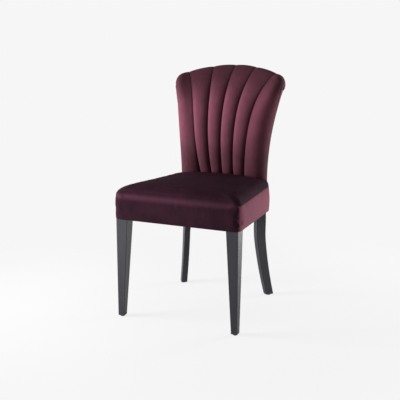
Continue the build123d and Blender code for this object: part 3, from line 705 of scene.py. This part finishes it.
@dataclass
class ChannelledBack:
    """Fan of sewn velvet channels on the inside of the back, with the plain outside back."""

    velvet: bpy.types.Material
    form: BackForm = field(default_factory=BackForm)
    bulge: float = 13.0
    crest_bulge: float = 3.0
    roll_bulge: float = 1.4
    depth: float = 14.0
    seam_gap: float = 0.7
    seam_pitch: float = 90.0
    channel_run: float = 460.0
    uneven: float = 0.035
    uneven_length: float = 130.0
    pucker: float = 0.45
    pucker_length: float = 17.0
    crest_from: float = 0.7
    fullness: float = 2.3
    shoulder: float = 0.70
    edge_foot_z: float = 490.0
    edge_top_z: float = 868.0
    edge_stop: float = 6.0
    close_from: float = 0.75
    edge_foot_half: float = 184.0
    edge_spread: float = 51.0
    edge_foot_y: float = 443.0
    edge_sweep: float = 53.0
    edge_bulge: float = 28.0
    edge_crest_bulge: float = 1.5
    edge_uneven: float = 0.04
    edge_uneven_length: float = 140.0
    edge_roll_hold: float = 0.75
    edge_wrap: float = 20.0
    edge_droop: float = 10.0
    edge_tuck: float = 3.5
    outside_y: float = 492.0
    outside_bend_z: float = 600.0
    outside_radius: float = 391.0
    outside_corner: float = 30.0
    outside_wall: float = 2.5
    outside_lap: float = 1.2
    outside_top: float = 858.0
    outside_arch: float = 1000.0
    outside_low: float = 450.5
    arch_half: float = 180.0
    arch_corner: float = 20.0
    contact_z: float = 484.0
    clear_y: float = 900.0
    seams: tuple[float, ...] = (-1.0, -0.5, 0.0, 0.5, 1.0)

    def ways(self) -> np.ndarray:
        """Stations of the channels: up the front and round the crest roll."""
        return np.concatenate([np.linspace(0.0, 1.0, 150), np.linspace(1.0, 2.0, 46)[1:]])

    def pillow(self, across: np.ndarray) -> np.ndarray:
        """Height of a stuffed channel from seam to seam: steep at the seams and round between."""
        return (1 - np.abs(2 * across - 1) ** self.fullness).clip(0.0) ** self.shoulder

    def brushed_and_lit(self, across: np.ndarray, way: np.ndarray) -> np.ndarray:
        """Painted light and shade on a channel.

        Light falls from the left: the left flank is painted lit and the right one in shade, and it is
        painted darker near the seat, which shades it, and over the crest, which faces up away from the lamps.

        Args:
            across: share of the channel's width, from the left.
            way: station, 1 where the crest roll starts.

        Returns:
            The painted light, 0 in shade to 1 lit.
        """
        level = 0.06 + 0.94 * smooth((way - 0.20) / 0.35)
        level = level * (1 - 0.92 * self.cresting(way))
        return level * (0.90 - 0.58 * smooth(across))

    def cresting(self, way: np.ndarray) -> np.ndarray:
        """0 on the front, rising to 1 where the crest roll starts."""
        return smooth((way - self.crest_from) / (1 - self.crest_from))

    def closing(self, step: np.ndarray) -> np.ndarray:
        """0 on the lower side edge, rising evenly to 1 where that edge meets the crest roll."""
        return ((step - self.close_from) / (1 - self.close_from)).clip(0.0, 1.0)

    def fading(self, way: np.ndarray) -> np.ndarray:
        """How dark the painted seam shade is: full up the front, and faint over the crest."""
        return 1 - 0.75 * smooth((way - 0.85) / 0.25)

    def inner_channel(self, left: float, right: float, seed: int) -> Rings:
        """Skin of a channel between two seams.

        The front is the fan surface lifted by a pillow profile, with shallow puckers that
        fade away from the seams; the walls go straight down into the seams.

        Args:
            left: share of the left seam.
            right: share of the right seam.
            seed: number that makes its puckers its own.

        Returns:
            The rings.
        """
        way = self.ways()[:, None]
        across = 0.5 - 0.5 * np.cos(np.linspace(0.0, math.pi, 45))
        margin = self.seam_gap / self.seam_pitch
        share = left + (right - left) * (margin + (1 - 2 * margin) * across[None, :])
        foot, away = self.form.carry(share, way)
        height = self.bulge + (self.crest_bulge - self.bulge) * self.cresting(way)
        height = height + (self.roll_bulge - self.crest_bulge) * smooth(way - 1.0)
        run = way * self.channel_run
        height = height * (1 + self.uneven * ripple(run, self.uneven_length, seed))
        near = np.exp(-np.minimum(across, 1 - across) / 0.11) * (across * (1 - across) * 4) ** 0.5
        waves = ripple(run + 40.0 * across[None, :], self.pucker_length, seed + 3)
        pucker = self.pucker * near[None, :] * waves
        lift = height * self.pillow(across)[None, :] + pucker
        front = foot + away * lift[..., None]
        drop = np.array([-3.0, -8.0, -self.depth])
        right_wall = foot[:, -1:] + away[:, -1:] * drop[None, :, None]
        left_wall = foot[:, :1] + away[:, :1] * drop[None, ::-1, None]
        inner = across[::-6][1:-1]
        back = right_wall[:, -1:] + (left_wall[:, :1] - right_wall[:, -1:]) * (1 - inner)[None, :, None]
        points = np.concatenate([front, right_wall, back, left_wall], axis=1)
        # painted shade: darker towards each seam and fully dark on the walls and the underside
        seam_shade = np.ones(points.shape[:2])
        dark = np.exp(-np.minimum(across, 1 - across) / 0.035)[None, :]
        seam_shade[:, : len(across)] = dark * self.fading(way)
        # painted light and shade on the front; the walls and underside are left in painted shade
        painted_light = np.zeros(points.shape[:2])
        painted_light[:, : len(across)] = self.brushed_and_lit(across[None, :], way)
        return Rings(points, seam_shade, painted_light)

    def edge_point(self, z: np.ndarray) -> np.ndarray:
        """Outermost line of the right side of the back: it spreads and sweeps back with height.

        Args:
            z: height.

        Returns:
            Points.
        """
        share = np.maximum((z - self.edge_foot_z) / (self.edge_top_z - self.edge_foot_z), 0.0)
        x = self.edge_foot_half + self.edge_spread * share**1.7
        y = self.edge_foot_y + self.edge_sweep * share**2.4
        return np.stack([x, y, z], axis=-1)

    def outer_channel(self, seed: int, side: Side) -> Rings:
        """Skin of an outer channel, as on the right.

        From its seam it rises to a shoulder, then turns in a quarter circle down to the
        side edge; over the crest the same section is carried round the roll.

        Args:
            seed: number that makes its puckers its own.
            side: the side it is for, which keeps its painted light on its left part and its painted shade on
                its right.

        Returns:
            The rings.
        """
        way = self.ways()
        seam, away = self.form.carry(np.ones_like(way), way)
        step = np.minimum(way, 1.0)
        rise_z = self.edge_top_z - self.edge_stop - self.form.bottom
        edge = self.edge_point(self.form.bottom + rise_z * step)
        level_seam, level_out = self.form.carry(np.ones_like(way), step)
        gap = edge - level_seam
        across = gap - level_out * along(gap, level_out)
        width = np.linalg.norm(across, axis=-1)[:, None]
        across = unit(across)
        width = width - self.edge_roll_hold * along(seam - level_seam, across)
        across = across[:, None, :]
        depth = -along(gap, level_out)
        close = self.closing(step)[:, None]
        depth = depth + (self.form.roll_radius - 0.6 - depth) * close
        width = width - self.edge_tuck * close
        low = (1 - step[:, None]) ** 4
        bulge = self.edge_crest_bulge + (self.edge_bulge - self.edge_crest_bulge) * low
        run = way[:, None] * self.channel_run
        bulge = bulge * (1 + self.edge_uneven * ripple(run, self.edge_uneven_length, seed))
        radius = depth + bulge
        shoulder = width - radius
        rise = (0.5 - 0.5 * np.cos(np.linspace(0.0, math.pi / 2, 26)))[None, :] * 2.0
        rise_x = self.seam_gap / 2 + (shoulder - self.seam_gap / 2) * rise
        rise_y = bulge * (1 - (1 - rise) ** self.fullness).clip(0.0) ** self.shoulder
        near = np.exp(-rise_x / 7.0) * np.minimum(rise_x / 3.0, 1.0)
        rise_y = rise_y + self.pucker * near * ripple(run + rise_x, self.pucker_length, seed + 3)
        turn = np.linspace(0.0, math.pi / 2, 30)[None, 1:]
        turn_x = shoulder + radius * np.sin(turn)
        turn_y = -depth + radius * np.cos(turn)
        none = 0 * width
        tuck = (
            (width - 1.5, -depth - 2.0),
            (width - 8.0, -depth - 2.5),
            (width * 0.6, -depth),
            (none + 4.0, none - self.depth),
            (none + 0.4, none - 8.0),
        )
        tuck_x, tuck_y = (np.concatenate(row, axis=1) for row in zip(*tuck))
        flat_x = np.concatenate([rise_x, turn_x, tuck_x], axis=1)[..., None]
        flat_y = np.concatenate([rise_y, turn_y, tuck_y], axis=1)[..., None]
        points = seam[:, None, :] + across * flat_x + away[:, None, :] * flat_y
        reach = flat_x[..., 0] / width
        points[..., 1] -= self.edge_wrap * close * smooth(reach)
        points[..., 2] -= self.edge_droop * close * reach.clip(0.0, 1.0) ** 2
        # painted shade: darker towards the seam, fully dark on the tuck and the underside, none on the
        # rounded edge
        seam_shade = np.ones(points.shape[:2])
        seam_shade[:, : rise_x.shape[1]] = np.exp(-rise_x / 2.6) * self.fading(way[:, None])
        seam_shade[:, rise_x.shape[1] : -tuck_x.shape[1]] = 0.0
        # painted light from the left on both outer channels, not mirrored
        from_left = reach if side is Side.RIGHT else 1.25 - reach
        return Rings(points, seam_shade, self.brushed_and_lit(from_left, way[:, None]))

    def rear_depth(self, x: np.ndarray, z: np.ndarray) -> np.ndarray:
        """Depth of the outside back: upright, then an arc that sweeps back, bowed across.

        Args:
            x: place across.
            z: height.

        Returns:
            Depth y.
        """
        rise = np.maximum(z - self.outside_bend_z, 0.0)
        middle = self.outside_y + self.outside_radius - np.sqrt(self.outside_radius**2 - rise**2)
        return middle - x**2 / (2 * self.form.plan_radius)

    def outside_back(self) -> Rings:
        """Skin of the outside back.

        A bowed panel whose two sides turn in a quarter ellipse to the side edges; its top
        follows an arch under the crest roll. The inner face lies one wall inside the outer one.

        Returns:
            The rings, from the seat upwards.
        """
        rise = np.linspace(0.0, 1.0, 110)[:, None]
        bend = np.linspace(0.0, math.pi / 2, 14)
        flat = np.linspace(-1.0, 1.0, 61)[1:-1]
        corner_share = np.concatenate([np.full(14, -1.0), flat, np.full(14, 1.0)])[None, :]
        angle = np.concatenate([bend[::-1], np.zeros(flat.size), bend])[None, :]
        sign = np.sign(corner_share)
        guess = np.abs(corner_share) * self.arch_half + self.arch_corner * np.sin(angle)
        top = self.outside_top - guess**2 / (2 * self.outside_arch)
        z = self.outside_low + (top - self.outside_low) * rise
        step = (z - self.form.bottom) / (self.edge_top_z - self.edge_stop - self.form.bottom)
        edge = self.edge_point(z)
        edge[..., 1] -= self.edge_wrap * self.closing(step)
        loops = []
        for inset in (0.0, self.outside_wall):
            corner_x = edge[..., 0] - self.outside_corner
            reach = (self.outside_corner - inset) * np.sin(angle)
            x = corner_share * corner_x + np.where(angle > 0, sign * reach, 0.0)
            flat_y = self.rear_depth(np.minimum(np.abs(x), corner_x), z) - inset
            side_y = edge[..., 1] + self.outside_lap
            y = side_y + (flat_y - side_y) * np.cos(angle)
            loops.append(np.stack([x, y, z], axis=-1))
        points = np.concatenate([loops[0], loops[1][:, ::-1]], axis=1)
        return Rings(points)

    def contact(self, skins: list[Rings]) -> tuple[np.ndarray, np.ndarray]:
        """Plan line of the foremost points of the channels where they meet the seat.

        Args:
            skins: all channels.

        Returns:
            Sorted x and the y of the front there, well behind the chair where there is none.
        """
        points = np.concatenate([s.points.reshape(-1, 3) for s in skins])
        places = np.linspace(-self.edge_foot_half, self.edge_foot_half, 93)
        spacing = places[1] - places[0]
        close = points[np.abs(points[:, 2] - self.contact_z) < spacing]
        reach = np.abs(close[None, :, 0] - places[:, None]) < spacing
        fronts = np.where(reach, close[None, :, 1], self.clear_y).min(axis=1)
        return places, fronts

    def build(self) -> list[Rings]:
        """Make and dress the six channels and the outside back.

        Returns:
            The channels' skins.
        """
        skins = []
        names = ("middle_left", "inner_left", "inner_right", "middle_right")
        for seed, name in enumerate(names):
            skin = self.inner_channel(self.seams[seed], self.seams[seed + 1], seed + 1)
            piece = skin.mesh(f"velvet_channel_{name}")
            dress(piece, self.velvet, [f"channel_cover_{name}", f"channel_foam_{name}"])
            skins.append(skin)
        for side in Side:
            skin = self.outer_channel(7 + side.value, side)
            skin = skin if side is Side.RIGHT else skin.mirrored()
            piece = skin.mesh(f"velvet_outer_channel_{side.word}")
            nodes = [f"outer_channel_cover_{side.word}", f"outer_channel_foam_{side.word}"]
            dress(piece, self.velvet, nodes)
            skins.append(skin)
        panel = self.outside_back().mesh("velvet_outside_back")
        dress(panel, self.velvet, ["outside_back_cover"])
        return skins


# Seat


@dataclass
class Seat:
    """Boxed, crowned seat: velvet over foam and wadding, with the dust cover under it."""

    velvet: bpy.types.Material
    shadowed: bpy.types.Material
    lining: bpy.types.Material
    front: float = -7.5
    rear: float = 495.0
    half_front: float = 252.0
    half_rear: float = 194.0
    front_corner: float = 21.0
    corner_growth: float = 1.4
    rear_corner: float = 76.0
    underside: float = 379.0
    tilt: float = 2.9
    levelling: float = 0.6
    edge: float = 503.5
    edge_roll: float = 34.0
    belly: float = 2.5
    top: float = 515.0
    hem: float = 24.0
    foot_radius: float = 6.0
    roll_turn: float = 80.0
    crown_y: float = 230.0
    notch_half: float = 186.0
    notch_floor: float = 452.0
    notch_blend: float = 8.0
    dip_from: float = 440.0
    dip_blend: float = 20.0
    dip_length: float = 16.0
    sink_length: float = 12.0
    contact_dip: float = 9.0
    shrink: float = 1.2
    border_z: float = 471.0
    beside_from: float = 0.72
    behind_from: float = 0.3
    # painted light of the top and front, and of the side and rear panels
    top_painted_light: float = 0.08
    panel_painted_light: float = 0.85
    swell_pressure: float = 4.0
    swell_cap: float = 3.5
    swell_frames: int = 20
    held_rise: float = 4.0
    dust_inset: float = 11.0
    dust_sag: float = 3.0
    dust_y: float = 240.0
    front_leg_x: float = 194.0
    front_leg_y: float = 49.0
    rear_leg_at: tuple[float, float] = (156.0, 448.0)
    rear_leg_turn: float = 44.0
    rear_leg_reach: float = 22.5
    rear_leg_half: float = 17.0

    def outline(self, inset: float) -> tuple[np.ndarray, np.ndarray]:
        """Rounded trapezium in plan, from the middle of the front round to the right.

        Straight runs joined by arcs; each arc turns from one run's outward direction to
        the next one's, round a centre set in from both runs by the corner radius. The
        front corners are the rounder, the further the level is set in.

        Args:
            inset: how far the level is drawn in afterwards.

        Returns:
            Points and outward unit vectors in plan.
        """
        lean = math.atan((self.half_front - self.half_rear) / (self.rear - self.front))
        turns = ((-math.pi / 2, lean), (lean, math.pi / 2))
        radii = (self.front_corner + self.corner_growth * max(inset, 0.0), self.rear_corner)
        corners = ((self.half_front, self.front), (self.half_rear, self.rear))
        counts = (20, 30)
        points = [np.array([[0.0, self.front]])]
        outs = [np.array([[0.0, -1.0]])]
        for (start, end), radius, corner, count in zip(turns, radii, corners, counts):
            middle = (start + end) / 2
            half = (end - start) / 2
            inward = np.array([math.cos(middle), math.sin(middle)]) / math.cos(half)
            centre = np.array(corner) - radius * inward
            angle = np.linspace(start, end, count)
            out = np.stack([np.cos(angle), np.sin(angle)], axis=-1)
            arc = centre + radius * out
            run = np.linspace(points[-1][-1], arc[0], 44)[1:-1]
            points += [run, arc]
            outs += [np.repeat(out[:1], len(run), axis=0), out]
        run = np.linspace(points[-1][-1], np.array([0.0, self.rear]), 34)[1:]
        points.append(run)
        outs.append(np.repeat(np.array([[0.0, 1.0]]), len(run), axis=0))
        right = np.concatenate(points)
        right_outs = np.concatenate(outs)
        flip = np.array([-1.0, 1.0])
        left = right[-2:0:-1] * flip
        left_outs = right_outs[-2:0:-1] * flip
        return np.concatenate([right, left]), np.concatenate([right_outs, left_outs])

    def levels(self) -> tuple[np.ndarray, np.ndarray]:
        """Inset and height of the boxed part: hem, tucked foot, slight belly and rolled edge.

        Returns:
            Insets and heights over the underside, from the hem upwards.
        """
        wall = self.edge - self.edge_roll - self.underside
        small = self.foot_radius
        hem = np.linspace(self.hem, small, 5)
        foot = np.linspace(0.0, math.pi / 2, 7)[1:]
        share = np.linspace(0.0, 1.0, 22)[1:]
        roll = np.radians(np.linspace(0.0, self.roll_turn, 16))[1:]
        insets = [
            hem,
            small - small * np.sin(foot),
            -self.belly * np.sin(math.pi * share),
            self.edge_roll * (1 - np.cos(roll)),
        ]
        heights = [
            0 * hem,
            small - small * np.cos(foot),
            small + (wall - small) * share,
            wall + self.edge_roll * np.sin(roll),
        ]
        return np.concatenate(insets), np.concatenate(heights)

    def slope(self, rises: np.ndarray | float) -> np.ndarray | float:
        """Fall to the rear at a height over the underside: steepest below, nearly level on top."""
        share = rises / (self.top - self.underside)
        return np.tan(math.radians(self.tilt) * (1 - self.levelling * share))

    def bow(self, plan: np.ndarray) -> np.ndarray:
        """Crown of the seat in plan.

        Args:
            plan: points in plan.

        Returns:
            1 in the middle, falling to 0 at the sides, front and rear.
        """
        depth = (plan[..., 1] - self.front) / (self.rear - self.front)
        half = self.half_front + (self.half_rear - self.half_front) * depth
        return ((1 - (plan[..., 0] / half) ** 2) * (1 - np.abs(2 * depth - 1) ** 2.4)).clip(0.0)

    def skin(self, contact: tuple[np.ndarray, np.ndarray]) -> Rings:
        """Skin of the seat.

        The box is the outline drawn in by each level's inset. The crown scales the last
        level towards the middle of the seat and rises as a bow across and along. Where the
        back stands, the top dips towards the line of contact and drops away behind it.

        Args:
            contact: plan line of the back's front, x and y.

        Returns:
            The rings, from the hem up to the middle of the crown.
        """
        insets, heights = self.levels()
        insets = insets + self.shrink
        outs = self.outline(0.0)[1]
        outlines = np.stack([self.outline(inset)[0] for inset in insets])
        plan = outlines - insets[:, None, None] * outs[None]
        rises = np.repeat(heights[:, None], len(outs), axis=1)
        middle = np.array([0.0, self.crown_y])
        scale = np.linspace(1.0, 0.012, 52)[1:]
        crown_plan = middle + scale[:, None, None] * (plan[-1] - middle)
        start = self.bow(plan[-1])
        lift = (self.bow(crown_plan) - start) / (1 - start)
        crown_rise = heights[-1] + (self.top - self.underside - heights[-1]) * lift
        plan = np.concatenate([plan, crown_plan])
        rises = np.concatenate([rises, crown_rise])
        z = self.underside + rises - plan[..., 1] * self.slope(rises)
        x, y = plan[..., 0], plan[..., 1]
        ahead = np.interp(x, *contact) - y
        inside = smooth((self.notch_half - np.abs(x)) / self.notch_blend)
        upper = smooth((z - self.dip_from) / self.dip_blend)
        dip = self.contact_dip * np.exp(-np.maximum(ahead, 0.0) / self.dip_length)
        sunk = smooth(-ahead / self.sink_length)
        drop = inside * upper * (dip + np.maximum(z - dip - self.notch_floor, 0.0) * sunk)
        # painted seam shade and painted light and shade for the velvet's colour
        seam_shade, painted_light = self.pile(outs, x, z, self.underside + rises)
        return Rings(np.stack([x, y, z - drop], axis=-1), seam_shade, painted_light)

    def pile(
        self, outs: np.ndarray, x: np.ndarray, z: np.ndarray, level: np.ndarray
    ) -> tuple[np.ndarray, np.ndarray]:
        """Painted seam shade along the border line, and painted light and shade.

        The side and rear panels are painted lit as far as the border and the top and front in shade,
        with a painted highlight along the front edge and some painted light on the top to the left.

        Args:
            outs: outward unit vectors of the outline.
            x: place across.
            z: height.
            level: height before the seat's tilt.

        Returns:
            Painted seam shade and painted light at each point.
        """
        beside = smooth((np.abs(outs[:, 0]) - 0.75) / 0.2)[None, :]
        around = np.maximum(beside, smooth(outs[:, 1] / 0.3)[None, :])
        ahead = smooth((-outs[:, 1] - 0.6) / 0.3)[None, :]
        across = x / self.half_front
        # painted shade along the seam line at the border
        border = np.exp(-(((level - self.border_z) / 1.6) ** 2)) * beside
        # painted light on the side and rear panels up to the border
        panel = around * smooth((self.border_z + 1.0 - level) / 3.0)
        # painted highlight along the front edge, brighter to the left
        lip_highlight = np.exp(-(((z - self.border_z) / 11.0) ** 2)) * ahead * (1.0 - 0.30 * across)
        # painted light on the top, more to the left
        upper = smooth((z - self.border_z - 8.0) / 14.0) * (0.24 - 0.20 * across)
        painted_light = self.top_painted_light + (self.panel_painted_light - self.top_painted_light) * panel
        return 0.7 * border, np.maximum(painted_light, np.maximum(lip_highlight, upper))

    def split_lit_and_shadowed(self, piece: bpy.types.Object) -> None:
        """Give the shaded copy of the velvet to all faces but those of the side and rear panels, which stay
        lit.

        Args:
            piece: the seat's object with both velvets.
        """
        facing = measured(piece.data.polygons, "normal")
        middle = measured(piece.data.polygons, "center")
        around = (np.abs(facing[:, 0]) > self.beside_from) | (facing[:, 1] > self.behind_from)
        slope = self.slope(self.border_z - self.underside)
        behind = middle[:, 1] - LEG_FRONT_MM / 1000.0
        # faces of the side and rear panels below the border keep the lit copy
        lit = around & (middle[:, 2] + behind * slope < self.border_z / 1000.0)
        piece.data.polygons.foreach_set("material_index", np.where(lit, 0, 1).astype(np.int32))

    def swell(self, piece: bpy.types.Object) -> None:
        """Let the cover swell against its seams: cloth under pressure, capped, hem held.

        Args:
            piece: the seat's object, whose mesh is changed.
        """
        scene = bpy.context.scene
        before = measured(piece.data.vertices, "co")
        held = piece.vertex_groups.new(name="held")
        low = np.flatnonzero(before[:, 2] < (self.underside + self.held_rise) / 1000.0)
        held.add([int(i) for i in low], 1.0, "REPLACE")
        cloth = piece.modifiers.new("swell", "CLOTH")
        cloth.settings.use_pressure = True
        cloth.settings.uniform_pressure_force = self.swell_pressure
        cloth.settings.vertex_group_mass = "held"
        cloth.settings.effector_weights.gravity = 0.0
        cloth.point_cache.frame_start = 1
        cloth.point_cache.frame_end = self.swell_frames
        for number in range(1, self.swell_frames + 1):
            scene.frame_set(number)
        evaluated = piece.evaluated_get(bpy.context.evaluated_depsgraph_get())
        move = measured(evaluated.data.vertices, "co") - before
        length = np.linalg.norm(move, axis=1, keepdims=True)
        cap = self.swell_cap / 1000.0
        move = move * (cap * np.tanh(length / cap) / np.maximum(length, 1e-9))
        piece.modifiers.remove(cloth)
        piece.vertex_groups.remove(held)
        scene.frame_set(1)
        piece.data.vertices.foreach_set("co", (before + move).astype(np.float32).ravel())
        piece.data.update()

    def dust_skin(self) -> Rings:
        """Skin of the dust cover: a thin cloth inside the hem, sagging a little in the middle.

        Both faces are the outline drawn in and scaled towards the middle; the lower one
        hangs lower by a paraboloid and a shallow ripple.

        Returns:
            The rings, from the middle of the upper face round the rim to the lower one.
        """
        outline, outs = self.outline(0.0)
        rim = self.round_legs(outline - self.dust_inset * outs)
        middle = np.array([0.0, self.dust_y])
        scale = np.linspace(0.01, 1.0, 40)
        faces = []
        for under, order in ((0.3, scale), (1.2, scale[::-1])):
            plan = middle + order[:, None, None] * (rim - middle)
            waves = 0.35 * ripple(plan[..., 0] + plan[..., 1], 90.0, 5)
            sag = self.dust_sag * (1 - order**2)[:, None] + waves * (1 - order)[:, None]
            z = self.underside - plan[..., 1] * self.slope(0.0) - under - sag
            faces.append(np.concatenate([plan, z[..., None]], axis=-1))
        return Rings(np.concatenate(faces))

    def round_legs(self, rim: np.ndarray) -> np.ndarray:
        """Draw the rim in round the four legs, towards the middle of the seat.

        Args:
            rim: plan outline.

        Returns:
            The notched outline.
        """
        middle = np.array([0.0, self.dust_y])
        ray = rim - middle
        in_front = (np.abs(rim[:, 0]) > self.front_leg_x) & (rim[:, 1] < self.front_leg_y)
        stop_x = self.front_leg_x / np.maximum(np.abs(ray[:, 0]), 1e-6)
        stop_y = (self.front_leg_y - self.dust_y) / np.minimum(ray[:, 1], -1e-6)
        share = np.where(in_front, np.maximum(stop_x, stop_y), 1.0)
        turn = math.radians(self.rear_leg_turn)
        out = np.array([math.sin(turn), math.cos(turn)])
        beside = np.array([out[1], -out[0]])
        folded = np.stack([np.abs(ray[:, 0]), ray[:, 1]], axis=-1)
        leg = np.array(self.rear_leg_at) - middle
        reach = folded @ out
        limit = leg @ out - self.rear_leg_reach
        off = np.abs(folded @ beside - leg @ beside)
        at_rear = (off < self.rear_leg_half) & (reach > limit) & (ray[:, 1] > 0)
        share = np.where(at_rear, np.minimum(share, limit / np.maximum(reach, 1e-6)), share)
        return middle + ray * share[:, None]

    def build(self, contact: tuple[np.ndarray, np.ndarray]) -> None:
        """Make and dress the seat and its dust cover.

        Args:
            contact: plan line of the back's front, x and y.
        """
        piece = self.skin(contact).mesh("velvet_seat")
        self.swell(piece)
        dress(piece, self.velvet, ["seat_cover", "seat_foam", "edge_wadding"])
        # second slot: the shaded copy of the velvet, painted shade for the top and front
        piece.data.materials.append(self.shadowed)
        self.split_lit_and_shadowed(piece)
        cloth = self.dust_skin().mesh("dust_cloth")
        dress(cloth, self.lining, ["dust_cover"])


# Rigid parts from the CAD model


@dataclass
class TimberFrame:
    """Legs, rails, fixings and linings that stay as CAD nodes and get a finish."""

    finishes: dict[str, bpy.types.Material]

    def build(self) -> None:
        """Give each CAD node the finish of its material slot."""
        for entry in frame["record"]["subparts"]:
            node = frame["nodes"][entry["node"]]
            finish = self.finishes.get(entry["material_slot"])
            if finish is None:
                continue
            node.data.materials.clear()
            node.data.materials.append(finish)
            log.info("%s: dressed in %s", node.name, finish.name)


# Studio


@dataclass
class Studio:
    """Pale floor and surround, two side softboxes, and the camera."""

    shade: float = 0.922
    ambient: float = 0.36
    floor_grey: float = 0.86
    floor_glow: float = 0.86
    camera_place: Triple = (1173.9, -2356.8, 1046.5)
    camera_aim: Triple = (-16.0, 250.0, 421.2)
    light_aim: Triple = (0.0, 250.0, 480.0)
    light_size: tuple[float, float] = (0.9, 1.0)
    sensor: float = 36.0
    focal_pixels: float = 762.1
    frame_pixels: float = 400.0

    def at(self, point: Triple) -> Vector:
        """A design point in the frame, in metres."""
        return Vector((point[0], point[1] + LEG_FRONT_MM, point[2])) / 1000.0

    def stand(self, thing: bpy.types.Object, place: Triple, target: Triple) -> None:
        """Put a camera or lamp at a design point, looking at another.

        Args:
            thing: the camera or lamp.
            place: where it stands.
            target: what it looks at.
        """
        thing.location = self.at(place)
        aim = self.at(target) - thing.location
        thing.rotation_euler = aim.to_track_quat("-Z", "Y").to_euler()

    def camera(self) -> None:
        """Camera at the photograph's angle."""
        data = bpy.data.cameras.new("camera")
        data.sensor_width = self.sensor
        data.lens = self.sensor * self.focal_pixels / self.frame_pixels
        camera = add_object("camera", data)
        self.stand(camera, self.camera_place, self.camera_aim)
        bpy.context.scene.camera = camera

    def softbox(self, name: str, place: Triple, power: float) -> None:
        """Rectangular lamp that faces the chair.

        Args:
            name: lamp name.
            place: where it stands, in design millimetres.
            power: watts.
        """
        data = bpy.data.lights.new(name, "AREA")
        data.shape = "RECTANGLE"
        data.size, data.size_y = self.light_size
        data.energy = power
        self.stand(add_object(name, data), place, self.light_aim)

    def surround(self) -> None:
        """World: a pale surround for the eye and for reflections, and a dimmer even light."""
        world = bpy.data.worlds.new("surround")
        bpy.context.scene.world = world
        graph = Graph(world)
        path = graph.node("ShaderNodeLightPath", {}, {})
        seen = Signal(graph, path.outputs["Is Camera Ray"])
        seen = seen.at_least(Signal(graph, path.outputs["Is Glossy Ray"]))
        seen = seen.at_least(Signal(graph, path.outputs["Is Transmission Ray"]))
        colour = graph.blend(seen, (self.ambient,) * 3, (self.shade,) * 3)
        sky = graph.node("ShaderNodeBackground", {}, {"Color": colour, "Strength": 1.0})
        graph.node("ShaderNodeOutputWorld", {}, {"Surface": sky.outputs[0]})

    def floor(self) -> None:
        """Pale floor: a wide disc that melts into the surround away from the chair."""
        turn = np.linspace(0.0, 2 * math.pi, 97)[:-1]
        reach = np.array([0.2, 0.6, 1.2, 2.4, 6.0, 30.0])
        ring = np.stack([np.cos(turn), np.sin(turn), 0 * turn], axis=-1)
        points = (reach[:, None, None] * ring[None]).reshape(-1, 3)
        index = np.arange(len(points)).reshape(len(reach), -1)
        after = np.roll(index, -1, axis=1)
        quads = np.stack([index[:-1], index[1:], after[1:], after[:-1]], axis=-1).reshape(-1, 4)
        mesh = bpy.data.meshes.new("floor")
        mesh.from_pydata(points, [], quads.tolist() + [index[0].tolist()])
        floor = add_object("floor", mesh)
        material = bpy.data.materials.new("pale floor")
        graph = Graph(material)
        where = graph.place((1.0, 1.0, 0.0))
        away = graph.signal("ShaderNodeVectorMath", {"operation": "LENGTH"}, {0: where}, 1)
        seen = graph.signal("ShaderNodeLightPath", {}, {}, "Is Camera Ray")
        share = seen * (self.floor_glow + (1 - self.floor_glow) * away.eased(0.5, 1.3))
        matte = graph.node("ShaderNodeBsdfDiffuse", {}, {"Color": rgba((self.floor_grey,) * 3)})
        glow = graph.node("ShaderNodeEmission", {}, {"Color": rgba((self.shade,) * 3), "Strength": 1.0})
        inputs = {0: share, 1: matte.outputs[0], 2: glow.outputs[0]}
        mixed = graph.node("ShaderNodeMixShader", {}, inputs)
        graph.node("ShaderNodeOutputMaterial", {}, {"Surface": mixed.outputs[0]})
        mesh.materials.append(material)

    def build(self) -> None:
        """Set up the studio."""
        bpy.context.scene.view_settings.view_transform = "Standard"
        self.camera()
        self.surround()
        self.floor()
        self.softbox("left softbox", (-1900.0, -800.0, 720.0), 91.0)
        self.softbox("right softbox", (1500.0, 1800.0, 520.0), 46.0)


def main() -> None:
    """Build the studio and the chair."""
    logging.basicConfig(level=logging.INFO, format="%(name)s: %(message)s")
    Studio().build()
    # lit and shaded copies of one velvet: this lighter one for the back and the seat's panels, the next one
    # for the seat's top and front
    velvet = Velvet("plum velvet, raised pile").make()
    shadowed = Velvet(
        "plum velvet, laid pile",
        deep=(0.0125, 0.0047, 0.0082),
        brushed_and_lit=(0.070, 0.0245, 0.0410),
        bloom_weight=0.0,
        gloss=0.02,
    ).make()
    lining = WovenCloth("lining cloth").make()
    TimberFrame(
        {
            "stained_wood": StainedWood("stained wood").make(),
            "frame_wood": PlanedWood("planed wood").make(),
            "plywood": PlanedWood("plywood", (0.60, 0.45, 0.27), (0.42, 0.28, 0.15), (1.0, 1.0, 0.05)).make(),
            "zinc_steel": ZincSteel("zinc steel").make(),
            "nylon": MouldedNylon("moulded nylon").make(),
            "webbing": WovenCloth("webbing", (0.075, 0.075, 0.08), (0.02, 0.02, 0.022), 0.0024).make(),
            "lining_cloth": lining,
        }
    ).build()
    back = ChannelledBack(velvet)
    skins = back.build()
    Seat(velvet, shadowed, lining).build(back.contact(skins))


if __name__ == "__main__":
    main()
